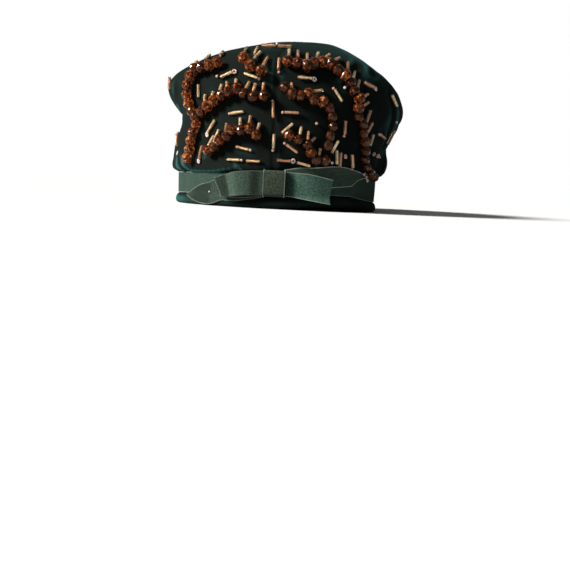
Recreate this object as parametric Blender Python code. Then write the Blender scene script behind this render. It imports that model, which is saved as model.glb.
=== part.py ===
"""Velvet hat: a puffed velvet crown gathered on a headband, with a ribbon, a bow and bead strings.

Metres, +Z up. The headband stands on z = 0, the front of the hat faces -Y, and the bow's cut
tail is on the +X side. An azimuth is in degrees, from the front towards +X. A rise is a share of
the crown's height, from the headband's top to the crown's top.
"""

from math import cos, exp, hypot, pi, radians, sin

import bmesh
import bpy
from mathutils import Vector
from mathutils.bvhtree import BVHTree

# Headband, sized for a 56 cm head
HEAD_WIDTH = 0.163
HEAD_DEPTH = 0.194
BAND_WALL = 0.003
ROLL_HEIGHT = 0.0083
ROLL_DEPTH = 0.003

# Crown
CROWN_HEIGHT = 0.1075
CROWN_WALL = 0.0025
CROWN_SHIFT = 0.020
GATHER_COUNT = 16
GATHER_DEPTH = 0.0026
GATHER_HEIGHT = 0.046

# Grosgrain ribbon and bow
RIBBON_WIDTH = 0.019
RIBBON_THICK = 0.001
RIBBON_MARGIN = 0.0007
KNOT_WIDTH = 0.0137
KNOT_DEPTH = 0.0062
KNOT_OFFSET = -0.0021
LOOP_LENGTH = 0.0305
LOOP_PUFF = 0.0066
LOOP_LIFT = 0.0022
TAIL_LENGTH = 0.0325
TAIL_LIFT = 0.0022
LEFT_LEAF_LENGTH = 0.0673
RIGHT_LEAF_LENGTH = 0.0705

# Faceted glass beads and bugles
BEAD_DIAMETER = 0.0078
BEAD_LENGTH = 0.0062
BEAD_SHOULDER = 0.0014
THREAD_DIAMETER = 0.0035
BUGLE_LENGTH = 0.0100
BUGLE_DIAMETER = 0.0023

# Clearance between pieces that touch
GAP = 0.0003

# Roundness of the plan: 2 is an ellipse
PLAN_POWER = 2.1
# Rise above which the crown leans over to the right
LEAN_RISE = 0.6
# Azimuths between which the gathers come in, on each side
GATHER_AZIMUTHS = (40, 75)
# Share of a gather's height over which it swells from the seam
GATHER_SWELL = 0.12
# Heights above and below a point that a piece of the bow clears too
SKIN_STEP = 0.002
# Depth in its bead at which a bugle's foot sits, as a share of the bead's radius
FOOT_DEPTH = 0.35
# Points worked out between two chosen points of a bead string
ROUTE_STEPS = 24
CROWN_SIDES = 64
BAND_SIDES = 48
BEAD_SIDES = 10
BUGLE_SIDES = 6
RIBBON_COLUMNS = 3

# The ribbon fills the headband between the roll and the crown
BAND_HEIGHT = ROLL_HEIGHT + RIBBON_WIDTH + RIBBON_MARGIN
HALF_WIDTH = HEAD_WIDTH / 2 + BAND_WALL
HALF_DEPTH = HEAD_DEPTH / 2 + BAND_WALL
RIBBON_LOW = ROLL_HEIGHT + GAP
BEAD_RADIUS = BEAD_DIAMETER / 2
BUGLE_RADIUS = BUGLE_DIAMETER / 2
NECK_RADIUS = THREAD_DIAMETER / 2

# Columns: rise as a share of CROWN_HEIGHT, then left and right as shares of the headband's half
# width, front and back as shares of its half depth
CROWN_SECTIONS = [
    (0.000, 1.000, 1.000, 1.000, 1.000),
    (0.023, 1.035, 1.060, 1.010, 1.050),
    (0.074, 1.040, 1.080, 1.025, 1.090),
    (0.205, 1.030, 1.095, 1.040, 1.120),
    (0.316, 1.000, 1.150, 1.040, 1.140),
    (0.409, 1.025, 1.225, 1.035, 1.150),
    (0.484, 1.070, 1.240, 1.020, 1.160),
    (0.558, 1.118, 1.215, 1.000, 1.160),
    (0.623, 1.125, 1.180, 0.970, 1.150),
    (0.679, 1.060, 1.125, 0.925, 1.120),
    (0.735, 0.965, 1.055, 0.860, 1.070),
    (0.786, 0.835, 0.935, 0.785, 1.000),
    (0.837, 0.685, 0.790, 0.685, 0.900),
    (0.884, 0.560, 0.665, 0.565, 0.770),
    (0.930, 0.435, 0.545, 0.420, 0.600),
    (0.967, 0.320, 0.425, 0.270, 0.400),
    (0.991, 0.155, 0.270, 0.120, 0.200),
    (1.000, 0.000, 0.000, 0.000, 0.000),
]
# Rows of CROWN_SECTIONS that the inner wall follows
INNER_ROWS = (0, 2, 4, 6, 8, 10, 12, 14)

# Columns: azimuth and rise where the fold starts, azimuth and rise where it ends, half width and
# depth as shares of the headband's height
FOLDS = [
    (62, 0.05, 80, 0.44, 0.30, 0.20),
    (50, 0.80, 88, 0.70, 0.28, 0.12),
    (-74, 0.36, -120, 0.44, 0.30, 0.18),
    (105, 0.10, 118, 0.55, 0.34, 0.14),
    (150, 0.10, 145, 0.60, 0.36, 0.12),
    (-112, 0.08, -128, 0.34, 0.32, 0.12),
    (-158, 0.10, -150, 0.58, 0.36, 0.14),
    (186, 0.20, 190, 0.66, 0.36, 0.10),
]

# Columns: out as a share of ROLL_DEPTH, height as a share of ROLL_HEIGHT
BAND_ROLL = [(0.45, 0.00), (0.88, 0.12), (1.00, 0.36), (0.78, 0.66), (0.28, 0.90), (0.00, 1.00)]

# Columns of each piece of the bow: along as a share of its length, lift as a share of its own
# lift or puff, low and high edge as shares of RIBBON_WIDTH above the ribbon's lower edge, and
# how far the high edge leads the low one, as a share of RIBBON_WIDTH
LOOP_PATH = [
    (0.00, 0.00, 0.02, 0.86, 0.00),
    (0.38, 0.00, -0.07, 0.80, 0.06),
    (0.78, 0.00, -0.09, 0.70, 0.20),
    (0.94, 0.09, -0.07, 0.62, 0.28),
    (1.00, 0.32, -0.05, 0.58, 0.31),
    (0.96, 0.62, -0.06, 0.59, 0.30),
    (0.84, 0.90, -0.07, 0.65, 0.23),
    (0.62, 1.00, -0.03, 0.78, 0.12),
    (0.36, 0.82, 0.02, 0.85, 0.04),
    (0.14, 0.52, 0.04, 0.88, 0.00),
    (0.00, 0.40, 0.05, 0.89, 0.00),
]
LEFT_LEAF_PATH = [
    (0.000, 0.0, -0.02, 0.84, 0.00),
    (0.125, 0.0, -0.12, 0.78, 0.00),
    (0.300, 0.0, -0.22, 0.70, 0.00),
    (0.440, 0.0, -0.22, 0.60, 0.00),
    (0.550, 0.0, -0.35, 0.51, 0.00),
    (0.640, 0.0, -0.39, 0.40, 0.00),
    (0.740, 0.0, -0.37, 0.34, 0.00),
    (0.870, 0.0, -0.27, 0.18, 0.00),
    (1.000, 0.0, -0.10, -0.02, 0.00),
]
RIGHT_LEAF_PATH = [
    (0.00, 0.0, 0.18, 0.98, 0.00),
    (0.14, 0.0, 0.22, 1.08, 0.00),
    (0.30, 0.0, 0.30, 1.12, 0.00),
    (0.48, 0.0, 0.44, 1.21, 0.00),
    (0.62, 0.0, 0.50, 1.22, 0.00),
    (0.76, 0.0, 0.57, 1.15, 0.00),
    (0.86, 0.0, 0.79, 1.09, 0.00),
    (1.00, 0.0, 0.92, 0.98, 0.00),
]
TAIL_PATH = [
    (0.00, 0.70, 0.05, 0.90, 0.00),
    (0.20, 1.20, 0.02, 0.88, 0.00),
    (0.45, 1.15, -0.05, 0.87, 0.03),
    (0.75, 1.00, -0.12, 0.79, 0.08),
    (1.00, 1.00, -0.17, 0.72, 0.12),
]
# Columns: height as a share of the knot's height, out as a share of KNOT_DEPTH
KNOT_PROFILE = [(0.00, 0.00), (0.00, 0.62), (0.07, 0.90), (0.35, 1.00), (0.65, 1.00), (0.93, 0.90),
                (1.00, 0.62), (1.00, 0.00)]
# Low and high edge of the knot as shares of RIBBON_WIDTH above the ribbon's lower edge
KNOT_EDGES = (0.02, 0.92)

# Chosen by hand, as (azimuth, rise): the points that each string of beads passes, and for each
# bugle on it (share of the string where it starts, azimuth and rise of its tip)
BEAD_STRINGS = {
    "bead_string_outer_left": (
        [(-26.4, 0.629), (-30, 0.613), (-33.9, 0.604), (-38.6, 0.599), (-40.6, 0.560),
         (-43.2, 0.522), (-45.4, 0.474), (-45.7, 0.415), (-44.4, 0.352), (-41.3, 0.307),
         (-40.7, 0.252), (-42.5, 0.213), (-44, 0.166), (-44.6, 0.121), (-44.4, 0.081),
         (-45.6, 0.058)],
        [(0.00, -35, 0.752), (0.12, -42, 0.735), (0.22, -46, 0.695)],
    ),
    "bead_string_middle_left": (
        [(-37.4, 0.347), (-35, 0.366), (-31.9, 0.390), (-28.3, 0.415), (-24.5, 0.442),
         (-21.6, 0.452), (-17.9, 0.469), (-15.7, 0.441), (-13.5, 0.427), (-10.7, 0.421),
         (-6.9, 0.425)],
        [(0.11, -35.4, 0.454), (0.22, -30.4, 0.467), (0.35, -25.4, 0.507), (0.46, -22.7, 0.524),
         (0.57, -18.4, 0.539), (0.80, -12.6, 0.522), (0.90, -10.3, 0.510), (1.00, -6.9, 0.515)],
    ),
    "bead_string_inner_left": (
        [(-32, 0.100), (-29.2, 0.115), (-26.1, 0.154), (-22.5, 0.183), (-20.4, 0.222),
         (-16.1, 0.217), (-12.4, 0.237), (-9.1, 0.193)],
        [(0.00, -30.3, 0.196), (0.16, -27.9, 0.233), (0.45, -24.2, 0.269), (0.66, -17.4, 0.300),
         (0.82, -12.7, 0.315), (1.00, -8.4, 0.272)],
    ),
    "bead_string_top_left": (
        [(-15.3, 0.647), (-12.9, 0.615), (-10.4, 0.588), (-7.6, 0.569)],
        [(0.00, -22.8, 0.773), (0.35, -15.1, 0.760), (0.65, -11.2, 0.721), (1.00, -6.6, 0.681)],
    ),
    "bead_string_outer_right": (
        [(1.5, 0.636), (4.8, 0.629), (8.1, 0.617), (12, 0.643), (16.4, 0.656), (19, 0.626),
         (21.8, 0.599), (25.1, 0.569), (26.1, 0.516), (28.9, 0.460), (29, 0.404), (30.6, 0.360),
         (34.2, 0.320), (36.4, 0.264), (38.9, 0.197), (40.1, 0.124), (42.2, 0.072), (46.6, 0.033),
         (53.4, 0.023)],
        [(0.00, 0.5, 0.760), (0.06, 4.2, 0.755), (0.11, 8.4, 0.735), (0.16, 13.7, 0.758),
         (0.21, 19.2, 0.757), (0.26, 23.7, 0.737), (0.31, 27.3, 0.703), (0.36, 30.6, 0.659),
         (0.41, 31.1, 0.593), (0.46, 34.3, 0.512), (0.53, 34.6, 0.462), (0.60, 36.6, 0.413),
         (0.68, 40.7, 0.344), (0.76, 45, 0.275)],
    ),
    "bead_string_middle_right": (
        [(0.8, 0.478), (3.1, 0.447), (5.7, 0.433), (8.5, 0.460), (10.7, 0.418), (14.7, 0.413),
         (17.7, 0.378), (19.2, 0.329), (20.1, 0.278), (19.7, 0.232), (19.9, 0.193), (19.5, 0.165)],
        [(0.13, 3, 0.524), (0.34, 14.2, 0.495)],
    ),
    "bead_string_inner_right": (
        [(3.4, 0.207), (7.2, 0.184), (9.6, 0.163), (12.3, 0.143), (12.7, 0.101), (15.3, 0.071),
         (19, 0.075)],
        [(0.20, 8, 0.264), (0.34, 11, 0.240), (0.50, 14.1, 0.205), (0.78, 17, 0.142)],
    ),
}

# Columns: azimuth, rise and turn of each loose bugle; a turn of 0 lies level, 90 stands upright
BUGLES = [
    (-22.6, 0.566, 21), (-39, 0.484, 68), (-19.2, 0.334, 7), (-32.6, 0.251, 58), (-38, 0.089, 74),
    (-15.4, 0.117, -11), (-19.1, 0.042, 0), (-10.3, 0.040, 0), (-63.8, 0.587, 58),
    (-65.6, 0.192, -74), (-11.6, 0.788, 2), (-2.6, 0.786, 3), (-1.5, 0.634, -85), (-3, 0.352, -88),
    (-2.1, 0.166, 90), (7.8, 0.559, 0), (3.7, 0.343, 0), (4.8, 0.128, -32), (2, 0.054, 0),
    (10.2, 0.038, -12), (35.8, 0.573, -13), (53.6, 0.521, -52), (52.9, 0.278, -8), (66, 0.300, 84),
    (23.7, 0.160, 64), (25.2, 0.096, -84), (27.2, 0.084, -86), (26.9, 0.286, -76),
    (34.2, 0.082, -74), (20.5, 0.472, -51), (-12, 0.556, -19), (2.6, 0.248, 43), (92, 0.600, 30),
    (126, 0.470, -48), (164, 0.640, 14), (-92, 0.660, -35), (-124, 0.520, 40), (-165, 0.430, -20),
]

VELVET = ((0.012, 0.050, 0.052), 0.85, 0.0)
GROSGRAIN = ((0.090, 0.130, 0.110), 0.75, 0.0)
AMBER_GLASS = ((0.560, 0.200, 0.060), 0.20, 0.0)
GOLD_GLASS = ((0.700, 0.480, 0.220), 0.25, 0.4)


def clear_scene():
    for item in list(bpy.data.objects):
        bpy.data.objects.remove(item, do_unlink=True)


def finish(name, look):
    colour, roughness, metallic = look
    material = bpy.data.materials.new(name)
    material.use_nodes = True
    shader = material.node_tree.nodes["Principled BSDF"]
    shader.inputs["Base Color"].default_value = (*colour, 1.0)
    shader.inputs["Roughness"].default_value = roughness
    shader.inputs["Metallic"].default_value = metallic
    return material


def add_object(name, points, faces, look):
    mesh = bpy.data.meshes.new(name)
    mesh.from_pydata([tuple(p) for p in points], [], faces)
    body = bmesh.new()
    body.from_mesh(mesh)
    bmesh.ops.recalc_face_normals(body, faces=body.faces)
    bmesh.ops.triangulate(body, faces=body.faces)
    body.to_mesh(mesh)
    body.free()
    mesh.shade_smooth()
    mesh.set_sharp_from_angle(angle=radians(40))
    mesh.materials.append(finish(name, look))
    item = bpy.data.objects.new(name, mesh)
    bpy.context.collection.objects.link(item)
    return item


def spline(values, place):
    """Catmull-Rom value of a list of rows at a place counted in rows."""
    last = len(values) - 1
    row = min(max(int(place), 0), last - 1)
    u = place - row
    quad = [values[max(row - 1, 0)], values[row], values[row + 1], values[min(row + 2, last)]]
    out = []
    for a, b, c, d in zip(*quad):
        out.append(0.5 * (2 * b + (c - a) * u + (2 * a - 5 * b + 4 * c - d) * u * u
                          + (3 * b - a - 3 * c + d) * u ** 3))
    return out


def plan_point(azimuth, left, right, front, back):
    """Point of the rounded plan whose four half sizes are given."""
    s, c = sin(radians(azimuth)), cos(radians(azimuth))
    power = 2 / PLAN_POWER
    x = (right if s > 0 else -left) * abs(s) ** power
    y = (-front if c > 0 else back) * abs(c) ** power
    return x, y


def fold_depth(azimuth, rise):
    """How far the folds press the velvet in."""
    depth = 0.0
    for az_a, rise_a, az_b, rise_b, width, deep in FOLDS:
        turn = (azimuth - az_a + 180) % 360 - 180
        run = Vector((radians(az_b - az_a) * HALF_WIDTH, (rise_b - rise_a) * CROWN_HEIGHT))
        here = Vector((radians(turn) * HALF_WIDTH, (rise - rise_a) * CROWN_HEIGHT))
        share = min(max(here.dot(run) / run.length_squared, 0), 1)
        apart = (here - run * share).length / (width * BAND_HEIGHT)
        depth += deep * BAND_HEIGHT * exp(-apart * apart)
    return depth


def gather_height(azimuth, rise):
    """How far the gathers at the foot of the crown stand out, at the sides and the back."""
    start, full = GATHER_AZIMUTHS
    side = min(max((abs((azimuth + 180) % 360 - 180) - start) / (full - start), 0), 1)
    foot = rise * CROWN_HEIGHT / GATHER_HEIGHT
    swell = max(1 - foot, 0) * min(foot / GATHER_SWELL, 1)
    return GATHER_DEPTH * side * swell * (0.5 - 0.5 * cos(radians(azimuth) * GATHER_COUNT))


def crown_point(azimuth, rise, detail=True):
    """Point of the crown's outside."""
    row = 0
    while row < len(CROWN_SECTIONS) - 2 and CROWN_SECTIONS[row + 1][0] <= rise:
        row += 1
    low, high = CROWN_SECTIONS[row][0], CROWN_SECTIONS[row + 1][0]
    place = row + (rise - low) / (high - low)
    _, left, right, front, back = spline(CROWN_SECTIONS, place)
    x, y = plan_point(azimuth, left * HALF_WIDTH, right * HALF_WIDTH,
                      front * HALF_DEPTH, back * HALF_DEPTH)
    out = hypot(x, y)
    if detail and out > 0:
        stand = gather_height(azimuth, rise) - fold_depth(azimuth, rise) * min(out / HALF_WIDTH, 1)
        x, y = x * (1 + stand / out), y * (1 + stand / out)
    lean = max((rise - LEAN_RISE) / (1 - LEAN_RISE), 0)
    return Vector((x + CROWN_SHIFT * lean * lean, y, BAND_HEIGHT + rise * CROWN_HEIGHT))


def crown_frame(azimuth, rise):
    """Directions across, up and out of the crown at a point."""
    step = 0.01
    low, high = max(rise - step, 0), min(rise + step, 0.995)
    across = crown_point(azimuth + 2, rise, False) - crown_point(azimuth - 2, rise, False)
    up = crown_point(azimuth, high, False) - crown_point(azimuth, low, False)
    out = across.cross(up).normalized()
    return across.normalized(), up.normalized(), out


def ring_faces(rings, closed_rows=False):
    """Quads between neighbouring closed rings of vertex numbers."""
    faces = []
    pairs = list(zip(rings, rings[1:]))
    if closed_rows:
        pairs.append((rings[-1], rings[0]))
    for near, far in pairs:
        for k in range(len(near)):
            m = (k + 1) % len(near)
            faces.append((near[k], near[m], far[m], far[k]))
    return faces


def make_crown():
    points, faces = [], []

    def wall(rows, sides, inset):
        rings = []
        for row in rows:
            rise = CROWN_SECTIONS[row][0]
            ring = []
            for k in range(sides):
                azimuth = 360 * k / sides
                point = crown_point(azimuth, rise, detail=row > 0)
                if inset and row == 0:
                    point -= Vector((point.x, point.y, 0)).normalized() * inset
                elif inset:
                    point -= crown_frame(azimuth, rise)[2] * inset
                    point -= gather_height(azimuth, rise) * Vector((point.x, point.y, 0)).normalized()
                ring.append(len(points))
                points.append(point)
            rings.append(ring)
        pole = len(points)
        points.append(crown_point(0, 1.0, False) - Vector((0, 0, inset)))
        faces.extend(ring_faces(rings))
        for k in range(sides):
            faces.append((rings[-1][k], rings[-1][(k + 1) % sides], pole))
        return rings[0]

    outer = wall(range(len(CROWN_SECTIONS) - 1), CROWN_SIDES, 0)
    inner = wall(INNER_ROWS, CROWN_SIDES // 2, CROWN_WALL)
    for k in range(len(inner)):
        a, b, c = outer[2 * k], outer[2 * k + 1], outer[(2 * k + 2) % CROWN_SIDES]
        p, q = inner[k], inner[(k + 1) % len(inner)]
        faces.extend([(a, b, p), (b, q, p), (b, c, q)])
    add_object("crown", points, faces, VELVET)
    return BVHTree.FromPolygons(points, faces)


def band_point(azimuth, out, height):
    """Point at a distance out from the headband's outer wall."""
    x, y = plan_point(azimuth, HALF_WIDTH, HALF_WIDTH, HALF_DEPTH, HALF_DEPTH)
    ahead = plan_point(azimuth + 1, HALF_WIDTH, HALF_WIDTH, HALF_DEPTH, HALF_DEPTH)
    behind = plan_point(azimuth - 1, HALF_WIDTH, HALF_WIDTH, HALF_DEPTH, HALF_DEPTH)
    normal = Vector((ahead[1] - behind[1], behind[0] - ahead[0])).normalized()
    return Vector((x + normal.x * out, y + normal.y * out, height))


def make_band(name, profile, look):
    """Closed ring round the head from a profile of (out, height)."""
    points, rings = [], []
    for k in range(BAND_SIDES):
        rings.append([len(points) + n for n in range(len(profile))])
        points.extend(band_point(360 * k / BAND_SIDES, out, height) for out, height in profile)
    return add_object(name, points, ring_faces(rings, closed_rows=True), look)


def make_headband():
    profile = [(out * ROLL_DEPTH, height * ROLL_HEIGHT) for out, height in BAND_ROLL]
    top = BAND_HEIGHT - GAP
    profile += [(0, top), (-BAND_WALL, top), (-BAND_WALL, 0)]
    return make_band("headband", profile, VELVET)


def make_ribbon():
    inner, outer = GAP, GAP + RIBBON_THICK
    top = min(RIBBON_LOW + RIBBON_WIDTH, BAND_HEIGHT - GAP)
    profile = [(inner, RIBBON_LOW), (outer, RIBBON_LOW), (outer, top), (inner, top)]
    return make_band("hatband_ribbon", profile, GROSGRAIN)


def arc_table():
    """Length along the headband from its front, at each half degree to the side."""
    lengths, last = [0.0], band_point(0, 0, 0)
    for half in range(1, 361):
        here = band_point(half / 2, 0, 0)
        lengths.append(lengths[-1] + (here - last).length)
        last = here
    return lengths


ARC_LENGTHS = arc_table()


def azimuth_along(length):
    """Azimuth at a length along the headband, to the right of its front."""
    far = abs(length)
    half = 0
    while half < len(ARC_LENGTHS) - 2 and ARC_LENGTHS[half + 1] < far:
        half += 1
    part = (far - ARC_LENGTHS[half]) / (ARC_LENGTHS[half + 1] - ARC_LENGTHS[half])
    return (half + part) / 2 * (1 if length > 0 else -1)


def skin(azimuth, height):
    """How far the roll, the ribbon or the crown stands out from the headband near a height."""
    out = GAP + RIBBON_THICK if height > RIBBON_LOW - RIBBON_THICK else 0.0
    for near in (-SKIN_STEP, 0, SKIN_STEP):
        level = height + near
        if level < ROLL_HEIGHT:
            for (out_a, low), (out_b, high) in zip(BAND_ROLL, BAND_ROLL[1:]):
                share = (level / ROLL_HEIGHT - low) / (high - low)
                if 0 <= share <= 1:
                    out = max(out, ROLL_DEPTH * (out_a + (out_b - out_a) * share))
        rise = (level - BAND_HEIGHT) / CROWN_HEIGHT
        if rise > 0:
            wall = band_point(azimuth, 0, 0)
            crown = crown_point(azimuth, rise)
            out = max(out, hypot(crown.x, crown.y) - hypot(wall.x, wall.y))
    return out


def make_bow_piece(name, path, start, length, lift, puff=0.0):
    """Strip of ribbon that follows a path out from the knot, standing off the hat."""
    steps = 2 * (len(path) - 1)
    stations = [spline(path, step / 2) for step in range(steps + 1)]
    side = 1 if length > 0 else -1
    line = [(share * abs(length), lift + puff * up) for share, up, *_ in stations]
    points, rings = [], []
    for n, (share, up, low, high, lead) in enumerate(stations):
        a, b = line[max(n - 1, 0)], line[min(n + 1, steps)]
        run = hypot(b[0] - a[0], b[1] - a[1])
        across = Vector((-(b[1] - a[1]), b[0] - a[0])) / run * RIBBON_THICK / 2
        ring = []
        for face in (1, -1):
            columns = range(RIBBON_COLUMNS + 1)
            for column in columns if face > 0 else reversed(columns):
                part = column / RIBBON_COLUMNS
                height = RIBBON_LOW + RIBBON_WIDTH * (low + (high - low) * part)
                along = line[n][0] + face * across.x + lead * RIBBON_WIDTH * (part - 0.5)
                azimuth = azimuth_along(start + side * max(along, 0))
                out = GAP + RIBBON_THICK / 2 + line[n][1] + face * across.y
                ring.append(len(points))
                points.append(band_point(azimuth, skin(azimuth, height) + out, height))
        rings.append(ring)
    faces = ring_faces(rings) + [tuple(reversed(rings[0])), tuple(rings[-1])]
    return add_object(name, points, faces, GROSGRAIN)


def make_knot():
    low, high = (RIBBON_LOW + RIBBON_WIDTH * edge for edge in KNOT_EDGES)
    points, rings = [], []
    stations = 4
    for n in range(stations + 1):
        azimuth = azimuth_along(KNOT_OFFSET + KNOT_WIDTH * (n / stations - 0.5))
        base = GAP + RIBBON_THICK + GAP
        rings.append([len(points) + k for k in range(len(KNOT_PROFILE))])
        for share, out in KNOT_PROFILE:
            points.append(band_point(azimuth, base + out * KNOT_DEPTH, low + (high - low) * share))
    faces = ring_faces(rings) + [tuple(reversed(rings[0])), tuple(rings[-1])]
    return add_object("bow_knot", points, faces, GROSGRAIN)


def make_bow():
    make_knot()
    left = KNOT_OFFSET - KNOT_WIDTH / 2 - GAP
    right = KNOT_OFFSET + KNOT_WIDTH / 2 + GAP
    make_bow_piece("bow_left_leaf", LEFT_LEAF_PATH, left, -LEFT_LEAF_LENGTH, 0)
    make_bow_piece("bow_left_loop", LOOP_PATH, left, -LOOP_LENGTH, LOOP_LIFT, LOOP_PUFF)
    make_bow_piece("bow_right_leaf", RIGHT_LEAF_PATH, right, RIGHT_LEAF_LENGTH, 0)
    make_bow_piece("bow_right_tail", TAIL_PATH, right, TAIL_LENGTH, 0, TAIL_LIFT)


def seat(point, out, reach, crown):
    """Lift a point until the crown is at least a reach away."""
    point = point.copy()
    for _ in range(12):
        apart = crown.find_nearest(point)[3]
        if apart >= reach:
            break
        point += out * (reach - apart + 0.00002)
    return point


def prism(start, end, radius, sides, first):
    """Closed rod between two points, its vertices numbered from first."""
    along = (end - start).normalized()
    side = along.orthogonal().normalized()
    other = along.cross(side)
    points, rings = [], []
    for centre in (start, end):
        rings.append([first + len(points) + k for k in range(sides)])
        for k in range(sides):
            turn = 2 * pi * k / sides
            points.append(centre + (side * cos(turn) + other * sin(turn)) * radius)
    return points, ring_faces(rings) + [tuple(reversed(rings[0])), tuple(rings[1])]


def lay_rod(start, end, out, crown, lift_start):
    """Raise a rod's ends until its whole length clears the crown."""
    reach = BUGLE_RADIUS + GAP
    for _ in range(12):
        short = 0.0
        for n in range(9):
            share = n / 8
            if share or lift_start:
                apart = crown.find_nearest(start.lerp(end, share))[3]
                short = max(short, (reach - apart) / (1 if lift_start else max(share, 0.3)))
        if short <= 0:
            break
        end = end + out * (short + 0.00002)
        if lift_start:
            start = start + out * (short + 0.00002)
    return start, end


def beads_along(route, crown):
    """Centres of the beads on a route, with the direction out of the crown at each."""
    dense = []
    for n in range(ROUTE_STEPS * (len(route) - 1) + 1):
        azimuth, rise = spline(route, n / ROUTE_STEPS)
        out = crown_frame(azimuth, rise)[2]
        dense.append((crown_point(azimuth, rise) + out * (BEAD_RADIUS + GAP), out))
    lengths = [0.0]
    for (a, _), (b, _) in zip(dense, dense[1:]):
        lengths.append(lengths[-1] + (b - a).length)
    count = max(int(lengths[-1] / BEAD_LENGTH) + 1, 2)
    beads = []
    for n in range(count):
        target = lengths[-1] * n / (count - 1)
        k = min(range(len(lengths)), key=lambda m: abs(lengths[m] - target))
        point, out = dense[k]
        beads.append((seat(point, out, BEAD_RADIUS + 2 * GAP, crown), out))
    return beads


def make_bead_string(name, route, tips, crown):
    """Faceted beads threaded close together, with the bugles that stand out from them."""
    beads = beads_along(route, crown)
    last = len(beads) - 1
    stations = []
    for n, (centre, out) in enumerate(beads):
        along = (beads[min(n + 1, last)][0] - beads[max(n - 1, 0)][0]).normalized()
        if n == 0:
            stations.append((centre - along * BEAD_LENGTH / 2, along, out, NECK_RADIUS))
        stations.append((centre - along * BEAD_SHOULDER, along, out, BEAD_RADIUS))
        stations.append((centre + along * BEAD_SHOULDER, along, out, BEAD_RADIUS))
        if n < last:
            ahead, ahead_out = beads[n + 1]
            direction = (ahead - centre).normalized()
            stations.append(((centre + ahead) / 2, direction, (out + ahead_out) / 2,
                             NECK_RADIUS))
        else:
            stations.append((centre + along * BEAD_LENGTH / 2, along, out, NECK_RADIUS))
    points, rings = [], []
    for centre, along, out, radius in stations:
        side = along.cross(out).normalized()
        up = side.cross(along)
        rings.append([len(points) + k for k in range(BEAD_SIDES)])
        for k in range(BEAD_SIDES):
            turn = 2 * pi * k / BEAD_SIDES
            points.append(centre + (side * cos(turn) + up * sin(turn)) * radius)
    faces = ring_faces(rings) + [tuple(reversed(rings[0])), tuple(rings[-1])]
    string = add_object(name, points, faces, AMBER_GLASS)

    for n, (share, azimuth, rise) in enumerate(tips):
        centre, out = beads[round(share * last)]
        foot = centre - out * BEAD_RADIUS * FOOT_DEPTH
        tip_out = crown_frame(azimuth, rise)[2]
        tip = crown_point(azimuth, rise) + tip_out * (BUGLE_RADIUS + GAP)
        foot, tip = lay_rod(foot, tip, tip_out, crown, False)
        rod = add_object(f"{name}_rod_{n}", *prism(foot, tip, BUGLE_RADIUS, BUGLE_SIDES, 0),
                         GOLD_GLASS)
        rod.hide_render = True
        rod.display_type = "WIRE"
        union = string.modifiers.new(f"rod_{n}", "BOOLEAN")
        union.operation = "UNION"
        union.solver = "EXACT"
        union.object = rod
    return string


def make_bugle(number, azimuth, rise, turn, crown):
    across, up, out = crown_frame(azimuth, rise)
    direction = across * cos(radians(turn)) + up * sin(radians(turn))
    centre = crown_point(azimuth, rise) + out * (BUGLE_RADIUS + GAP)
    half = direction * BUGLE_LENGTH / 2
    start, end = lay_rod(centre - half, centre + half, out, crown, True)
    points, faces = prism(start, end, BUGLE_RADIUS, BUGLE_SIDES, 0)
    return add_object(f"bugle_{number:02d}", points, faces, GOLD_GLASS)


def centre_on_origin():
    """Put the middle of the hat's plan at x = 0, y = 0."""
    bpy.context.view_layer.update()
    corners = [item.matrix_world @ v.co for item in bpy.data.objects for v in item.data.vertices]
    x = (min(c.x for c in corners) + max(c.x for c in corners)) / 2
    y = (min(c.y for c in corners) + max(c.y for c in corners)) / 2
    for item in bpy.data.objects:
        item.location -= Vector((x, y, 0))


clear_scene()
crown_tree = make_crown()
make_headband()
make_ribbon()
make_bow()
for string_name, (string_route, string_tips) in BEAD_STRINGS.items():
    make_bead_string(string_name, string_route, string_tips, crown_tree)
for number, (bugle_azimuth, bugle_rise, bugle_turn) in enumerate(BUGLES, 1):
    make_bugle(number, bugle_azimuth, bugle_rise, bugle_turn, crown_tree)
centre_on_origin()
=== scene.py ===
"""Velvet hat: the finish of every piece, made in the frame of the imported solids.

Metres, +Z up. The headband stands on z = 0, the front of the hat faces -Y, and the bow's cut tail
is on the +X side. An azimuth is in degrees, from the front towards +X. A rise is a share of the
crown's height, from the headband's top to the crown's top.
"""

from math import cos, pi, radians, sin

import bmesh
import bpy
import numpy as np
from mathutils import Matrix, Vector, noise
from mathutils.bvhtree import BVHTree


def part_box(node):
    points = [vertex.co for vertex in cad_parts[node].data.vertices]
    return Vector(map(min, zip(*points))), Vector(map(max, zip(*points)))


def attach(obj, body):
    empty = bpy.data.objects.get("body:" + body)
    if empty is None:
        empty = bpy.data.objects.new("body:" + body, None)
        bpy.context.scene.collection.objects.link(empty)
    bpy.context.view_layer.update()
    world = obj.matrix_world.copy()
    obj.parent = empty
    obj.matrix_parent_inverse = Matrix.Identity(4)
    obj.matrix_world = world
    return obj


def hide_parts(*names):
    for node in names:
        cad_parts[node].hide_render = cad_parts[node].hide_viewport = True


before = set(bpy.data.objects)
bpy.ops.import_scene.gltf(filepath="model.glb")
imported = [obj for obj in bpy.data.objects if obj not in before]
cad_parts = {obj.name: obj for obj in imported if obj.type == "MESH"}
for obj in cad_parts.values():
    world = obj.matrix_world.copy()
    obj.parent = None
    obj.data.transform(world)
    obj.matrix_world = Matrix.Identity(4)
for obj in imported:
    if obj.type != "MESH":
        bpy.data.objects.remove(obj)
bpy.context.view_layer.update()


# Crown
# A tall, soft bag of silk velvet. Two panels meet in a seam up the front, over the top and down the
# back, the foot is gathered into the headband, and the slack slumps over the band at both sides.
HEAD_WIDTH = 0.163
HEAD_DEPTH = 0.194
BAND_WALL = 0.003
ROLL_HEIGHT = 0.0083
RIBBON_WIDTH = 0.019
RIBBON_MARGIN = 0.0007
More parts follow.
